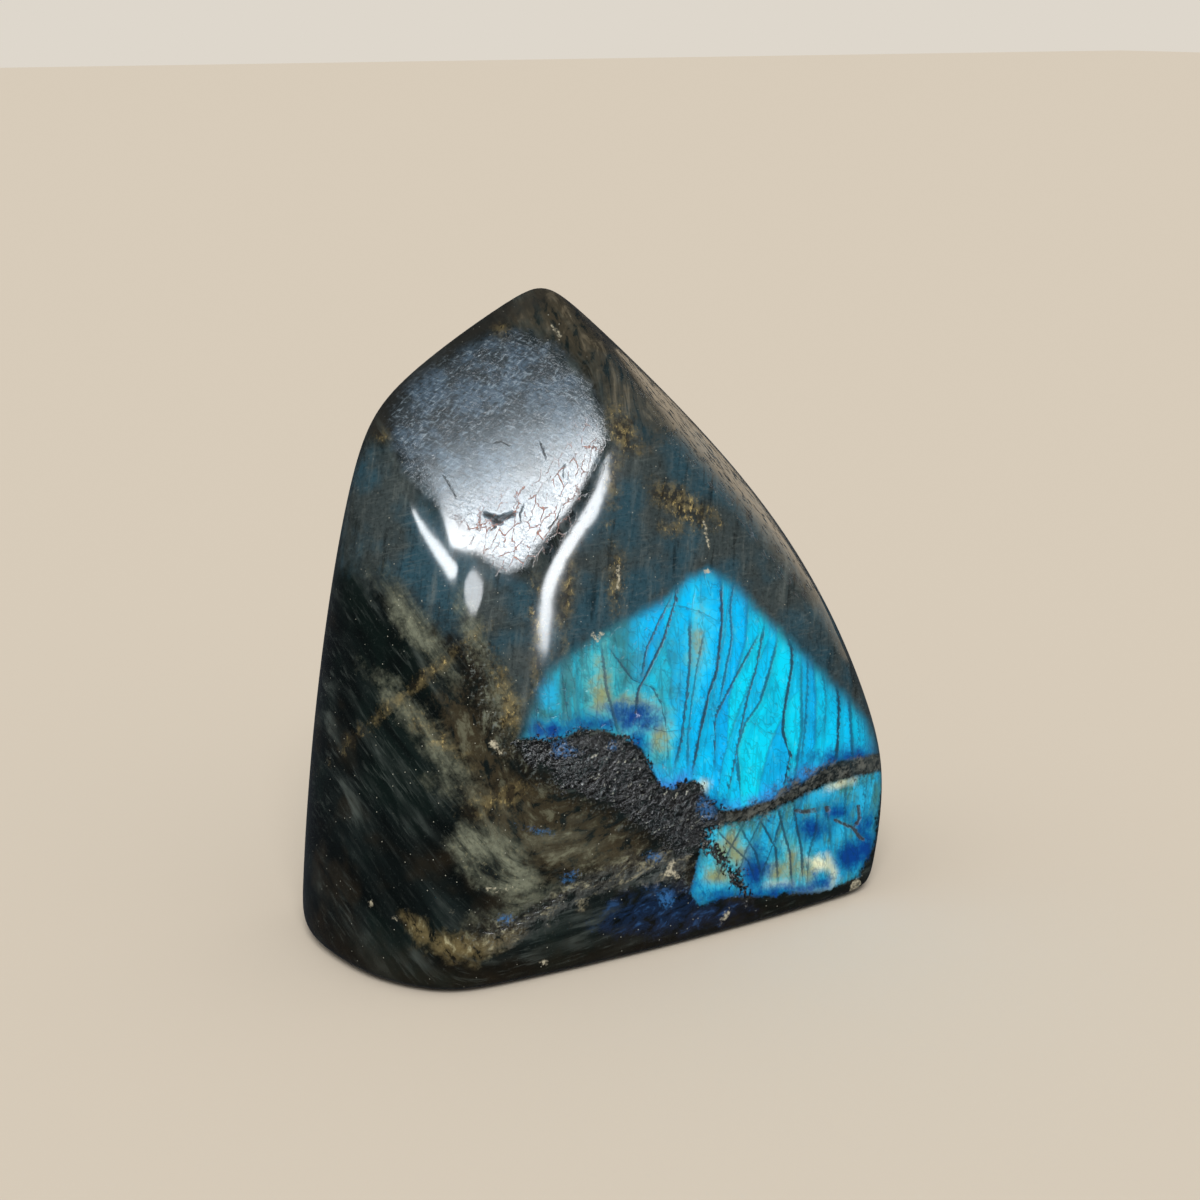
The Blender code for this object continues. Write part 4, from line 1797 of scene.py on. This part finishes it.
@dataclass
class Relief:
    """The real relief of the crumbly matrix and the pits, as a node tree that sinks the surface.

    Fields are the depths in metres, the crumbs to a metre, how fine they get, the seed, and the heights
    above the base between which the relief sets in.
    """

    crumb_depth: float = 0.30 * MM
    pit_depth: float = 0.45 * MM
    crumbs_per_metre: float = 700.0
    crumb_detail: float = 2.0
    seed: float = 4.0
    flat_height: float = 0.5 * MM
    full_height: float = 3.0 * MM

    def make_tree(self) -> bpy.types.GeometryNodeTree:
        """Build the tree, with its sizes as named inputs.

        Returns:
            The tree.
        """
        tree = bpy.data.node_groups.new("crumbly relief", "GeometryNodeTree")
        sockets = tree.interface
        sockets.new_socket("Stone", in_out="INPUT", socket_type="NodeSocketGeometry")
        for name in ("Crumb depth", "Pit depth", "Crumbs per metre", "Seed"):
            sockets.new_socket(name, in_out="INPUT", socket_type="NodeSocketFloat")
        sockets.new_socket("Finish", in_out="INPUT", socket_type="NodeSocketMaterial")
        sockets.new_socket("Stone", in_out="OUTPUT", socket_type="NodeSocketGeometry")
        bench = NodeBench(tree)
        given = bench.node("NodeGroupInput").outputs
        noise = bench.node("ShaderNodeTexNoise", {
            "Vector": bench.node("GeometryNodeInputPosition").outputs[0],
            "W": given["Seed"],
            "Scale": given["Crumbs per metre"],
            "Detail": self.crumb_detail,
        }, noise_dimensions="4D")
        crumb = bench.times(noise.outputs["Fac"], self.cover(bench, Mark.MATRIX, 0.8))
        crumb = bench.times(crumb, given["Crumb depth"])
        pit = bench.times(self.cover(bench, Mark.PIT, 0.5), given["Pit depth"])
        height = bench.parts(bench.node("GeometryNodeInputPosition").outputs[0])[2]
        above_base = bench.step(height, self.flat_height, self.full_height)
        depth = bench.times(bench.times(bench.add(crumb, pit), -1.0), above_base)
        normal = bench.node("GeometryNodeInputNormal").outputs[0]
        inwards = bench.node("ShaderNodeVectorMath", {0: normal, "Scale": depth}, operation="SCALE")
        sink = bench.node(
            "GeometryNodeSetPosition", {"Geometry": given["Stone"], "Offset": inwards.outputs[0]},
        )
        real = bench.node("GeometryNodeRealizeInstances", {0: sink.outputs[0]})
        finish = bench.node(
            "GeometryNodeSetMaterial", {"Geometry": real.outputs[0], "Material": given["Finish"]},
        )
        bench.node("NodeGroupOutput", {0: finish.outputs[0]})
        return tree

    def cover(self, bench: NodeBench, mark: Mark, softness: float) -> Socket:
        """Say how much of a marking covers each vertex, 0 to 1."""
        named = bench.node("GeometryNodeInputNamedAttribute", {"Name": mark.value}, data_type="FLOAT")
        return bench.step(named.outputs["Attribute"], -softness / 2.0, softness / 2.0)

    def apply(self, stone: bpy.types.Object, finish: bpy.types.Material) -> None:
        """Sink the relief into the stone's mesh.

        Args:
            stone: the stone's object, whose mesh is replaced.
            finish: the material that the result gets.
        """
        tree = self.make_tree()
        modifier = stone.modifiers.new("relief", "NODES")
        modifier.node_group = tree
        values = {
            "Crumb depth": self.crumb_depth,
            "Pit depth": self.pit_depth,
            "Crumbs per metre": self.crumbs_per_metre,
            "Seed": self.seed,
            "Finish": finish,
        }
        for item in tree.interface.items_tree:
            if item.in_out == "INPUT" and item.name in values:
                modifier[item.identifier] = values[item.name]
        evaluated = stone.evaluated_get(bpy.context.evaluated_depsgraph_get())
        sunk = bpy.data.meshes.new_from_object(evaluated)
        stone.modifiers.remove(modifier)
        stone.data = sunk
        sunk.shade_smooth()


@dataclass
class Stone:
    """The whole stone: form, marks, relief and finish."""

    view: PhotoView

    def build(self) -> bpy.types.Object:
        """Make the dressed stone and tie it to the frame.

        Returns:
            The stone's object.
        """
        mesh = StoneForm().make_mesh(self.view)
        StoneMarks(mesh, self.view).write_all()
        stone = bpy.data.objects.new("polished_labradorite", mesh)
        bpy.context.scene.collection.objects.link(stone)
        Relief().apply(stone, StoneFinish(self.view).build())
        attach(stone, "root")
        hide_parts(STONE_NODE)
        return stone


class Mirror:
    """Finds where the polished surface mirrors a pixel of the photograph."""

    # The least distance, in metres, that a corner counts as away from a place
    least_distance = 1e-6

    def __init__(self, form: StoneForm, view: PhotoView) -> None:
        """Take the smooth surface before its relief.

        Args:
            form: the stone's form.
            view: the photograph's viewpoint.
        """
        mesh = form.make_mesh(view)
        self.normals = [normal.vector.copy() for normal in mesh.vertex_normals]
        self.places = [vertex.co.copy() for vertex in mesh.vertices]
        self.faces = [tuple(face.vertices) for face in mesh.polygons]
        self.tree = BVHTree.FromPolygons(self.places, self.faces)
        self.view = view
        bpy.data.meshes.remove(mesh)

    def glance(self, pixel: tuple[float, float], reach: float) -> Vector:
        """Follow a pixel's line of sight to the stone and on, as the polish throws it back.

        Args:
            pixel: a pixel of the photograph that shows the stone.
            reach: how far to go on after the stone, in metres.

        Returns:
            The place that the pixel mirrors.
        """
        right, up, into = self.view.axes()
        across = (pixel[0] - PHOTO_SIZE / 2) / self.view.focal_pixels
        above = (PHOTO_SIZE / 2 - pixel[1]) / self.view.focal_pixels
        ray = Vector(into + right * across + up * above).normalized()
        place, _, face, _ = self.tree.ray_cast(Vector(self.view.position()), ray)
        if place is None:
            raise ValueError(f"pixel {pixel} shows no stone")
        normal = Vector()
        for corner in self.faces[face]:
            closeness = 1.0 / max((self.places[corner] - place).length, self.least_distance) ** 2
            normal += self.normals[corner] * closeness
        return place + ray.reflect(normal.normalized()) * reach


@dataclass(frozen=True)
class Glint:
    """A soft window or lamp, placed so that the polish shows it where the photograph does.

    Fields are its name, its two long edges in pixels of the photograph, how bright each edge is, its
    colour, its distance in metres and the number of strips between its edges.
    """

    name: str
    first_edge: Points
    second_edge: Points
    first_brightness: float
    second_brightness: float
    colour: tuple[float, float, float]
    reach: float = 3.0
    strips: int = 4

    def place(self, mirror: Mirror) -> bpy.types.Object:
        """Add the window as a bright sheet that only the polish shows.

        Args:
            mirror: finds where each pixel's line of sight goes after the stone.

        Returns:
            The sheet.
        """
        places, glow, faces = [], [], []
        across = self.strips + 1
        rise = self.second_brightness - self.first_brightness
        for first, second in zip(self.first_edge, self.second_edge):
            for strip in range(across):
                share = strip / self.strips
                pixel = tuple(start + (end - start) * share for start, end in zip(first, second))
                places.append(mirror.glance(pixel, self.reach))
                glow.append(self.first_brightness + rise * share)
        for row in range(len(self.first_edge) - 1):
            for strip in range(self.strips):
                corner = row * across + strip
                faces.append((corner, corner + 1, corner + across + 1, corner + across))
        mesh = bpy.data.meshes.new(self.name)
        mesh.from_pydata(places, [], faces)
        mesh.attributes.new("glow", "FLOAT", "POINT").data.foreach_set("value", glow)
        mesh.materials.append(self.make_glow())
        window = bpy.data.objects.new(self.name, mesh)
        for sight in ("camera", "diffuse", "shadow", "transmission"):
            setattr(window, f"visible_{sight}", False)
        bpy.context.scene.collection.objects.link(window)
        return window

    def make_glow(self) -> bpy.types.Material:
        """The window's light, which fades from one edge to the other.

        Returns:
            The material.
        """
        material = bpy.data.materials.new(self.name)
        material.use_nodes = True
        material.node_tree.nodes.clear()
        bench = NodeBench(material.node_tree)
        strength = bench.attribute("glow").outputs["Fac"]
        emission = bench.node("ShaderNodeEmission", {"Color": (*self.colour, 1.0), "Strength": strength})
        bench.node("ShaderNodeOutputMaterial", {"Surface": emission.outputs[0]})
        return material


WARM = (1.0, 0.93, 0.84)
BEIGE = (1.0, 0.82, 0.60)
DAYLIGHT = (0.93, 0.97, 1.0)
BLUE_SKY = (0.80, 0.91, 1.0)
SLOPE_MIDDLE: Points = (
    (617, 350), (643, 380), (657, 400), (669, 420), (691, 450), (717, 480), (743, 510), (768, 540),
    (790, 570), (812, 600), (829, 630), (845, 660),
)
HAZE_TOP: Points = (
    (418, 470), (452, 448), (484, 430), (516, 418), (546, 412), (572, 408), (592, 405),
)
WINDOW_TOP: Points = (
    (440, 500), (470, 490), (500, 474), (530, 459), (556, 448), (578, 438), (597, 428),
)
GLINTS = (
    Glint(
        "facet_window", WINDOW_TOP,
        ((450, 546), (476, 550), (498, 563), (520, 562), (548, 534), (575, 500), (599, 450)),
        11.0, 30.0, DAYLIGHT,
    ),
    Glint("facet_haze", HAZE_TOP, WINDOW_TOP, 1.3, 10.5, BLUE_SKY),
    Glint(
        "facet_sky",
        ((392, 420), (420, 385), (456, 356), (496, 340), (528, 342), (556, 358), (580, 376)),
        HAZE_TOP, 0.25, 1.3, BLUE_SKY,
    ),
    Glint(
        "edge_window",
        (
            (605, 458), (601, 475), (596, 489), (581, 517), (562, 544), (548, 571), (541, 599), (539, 626),
            (544, 656),
        ),
        (
            (608, 458), (607, 475), (606, 489), (596, 517), (576, 544), (561, 571), (552, 599), (550, 626),
            (546, 656),
        ),
        22.0, 22.0, DAYLIGHT,
    ),
    Glint(
        "slope_sheen",
        (
            (614, 350), (634, 380), (643, 400), (653, 420), (672, 450), (699, 480), (727, 510), (754, 540),
            (779, 570), (803, 600), (822, 630), (840, 660),
        ),
        SLOPE_MIDDLE, 0.0, 0.58, BEIGE,
    ),
    Glint(
        "slope_edge", SLOPE_MIDDLE,
        (
            (619, 350), (650, 380), (671, 400), (689, 420), (717, 450), (742, 480), (765, 510), (785, 540),
            (804, 570), (821, 600), (835, 630), (848, 660),
        ),
        0.58, 0.5, BEIGE,
    ),
    Glint(
        "left_glint",
        ((412, 510), (419, 528), (430, 547), (441, 565), (450, 579)),
        ((414, 510), (426, 528), (443, 547), (457, 565), (456, 579)),
        22.0, 22.0, DAYLIGHT,
    ),
    Glint(
        "short_glint",
        ((472, 570), (465, 582), (464, 596), (470, 612)),
        ((476, 570), (483, 584), (482, 600), (476, 612)),
        12.0, 12.0, DAYLIGHT,
    ),
)


@dataclass
class Studio:
    """A plain pale floor, a soft sky, a soft sun and the glints that show in the polish."""

    floor_half_size: float = 6.0
    floor_drop: float = 0.05 * MM
    floor_colour: tuple = srgb(196, 191, 183)
    backdrop_colour: tuple = srgb(222, 215, 204)
    sky_fill: float = 0.86
    polish_fill: tuple = (0.030, 0.034, 0.040, 1.0)
    sun_strength: float = 2.7
    sun_angle: float = math.radians(28.0)
    towards_sun: tuple = (-0.35, -0.62, 0.72)

    def build(self, mirror: Mirror) -> None:
        """Add everything that isn't the stone.

        Args:
            mirror: places the glints.
        """
        self.make_floor()
        self.make_sky()
        self.make_sun()
        for glint in GLINTS:
            glint.place(mirror)

    def make_floor(self) -> None:
        """Lay the plain pale floor."""
        half = self.floor_half_size
        mesh = bpy.data.meshes.new("studio_floor")
        work = bmesh.new()
        bmesh.ops.create_grid(work, x_segments=1, y_segments=1, size=half)
        work.to_mesh(mesh)
        work.free()
        material = bpy.data.materials.new("pale floor")
        material.use_nodes = True
        shader = material.node_tree.nodes["Principled BSDF"]
        shader.inputs["Base Color"].default_value = self.floor_colour
        shader.inputs["Roughness"].default_value = 1.0
        shader.inputs["Specular IOR Level"].default_value = 0.0
        mesh.materials.append(material)
        floor = bpy.data.objects.new("studio_floor", mesh)
        floor.location.z = -self.floor_drop
        floor.visible_glossy = False
        bpy.context.scene.collection.objects.link(floor)

    def make_sky(self) -> None:
        """Light the scene evenly, show a plain pale backdrop, and keep the polish dark."""
        world = bpy.data.worlds.new("studio")
        world.use_nodes = True
        world.node_tree.nodes.clear()
        bench = NodeBench(world.node_tree)
        rays = bench.node("ShaderNodeLightPath")
        fill = tuple(channel * self.sky_fill for channel in self.backdrop_colour[:3]) + (1.0,)
        colour = bench.blend(rays.outputs["Is Glossy Ray"], fill, self.polish_fill)
        colour = bench.blend(rays.outputs["Is Camera Ray"], colour, self.backdrop_colour)
        background = bench.node("ShaderNodeBackground", {"Color": colour})
        bench.node("ShaderNodeOutputWorld", {"Surface": background.outputs[0]})
        bpy.context.scene.world = world

    def make_sun(self) -> None:
        """Add the soft key light, from the upper left of the camera."""
        data = bpy.data.lights.new("soft_sun", "SUN")
        data.energy = self.sun_strength
        data.angle = self.sun_angle
        data.color = WARM
        sun = bpy.data.objects.new("soft_sun", data)
        sun.rotation_mode = "QUATERNION"
        sun.rotation_quaternion = Vector(self.towards_sun).to_track_quat("Z", "Y")
        sun.visible_glossy = False
        bpy.context.scene.collection.objects.link(sun)


def write_sizes() -> None:
    """Bring the scene's placements up to date."""
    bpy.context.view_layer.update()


def main() -> None:
    """Build the stone and the studio, and report the stone's faces and vertices."""
    logging.basicConfig(level=logging.INFO, format="%(name)s: %(message)s")
    view = PhotoView()
    view.make_camera()
    stone = Stone(view).build()
    LOG.info("%s: %d faces, %d vertices", stone.name, len(stone.data.polygons), len(stone.data.vertices))
    Studio().build(Mirror(StoneForm(), view))
    bpy.context.scene.view_settings.view_transform = "Standard"
    write_sizes()


if __name__ == "__main__":
    main()
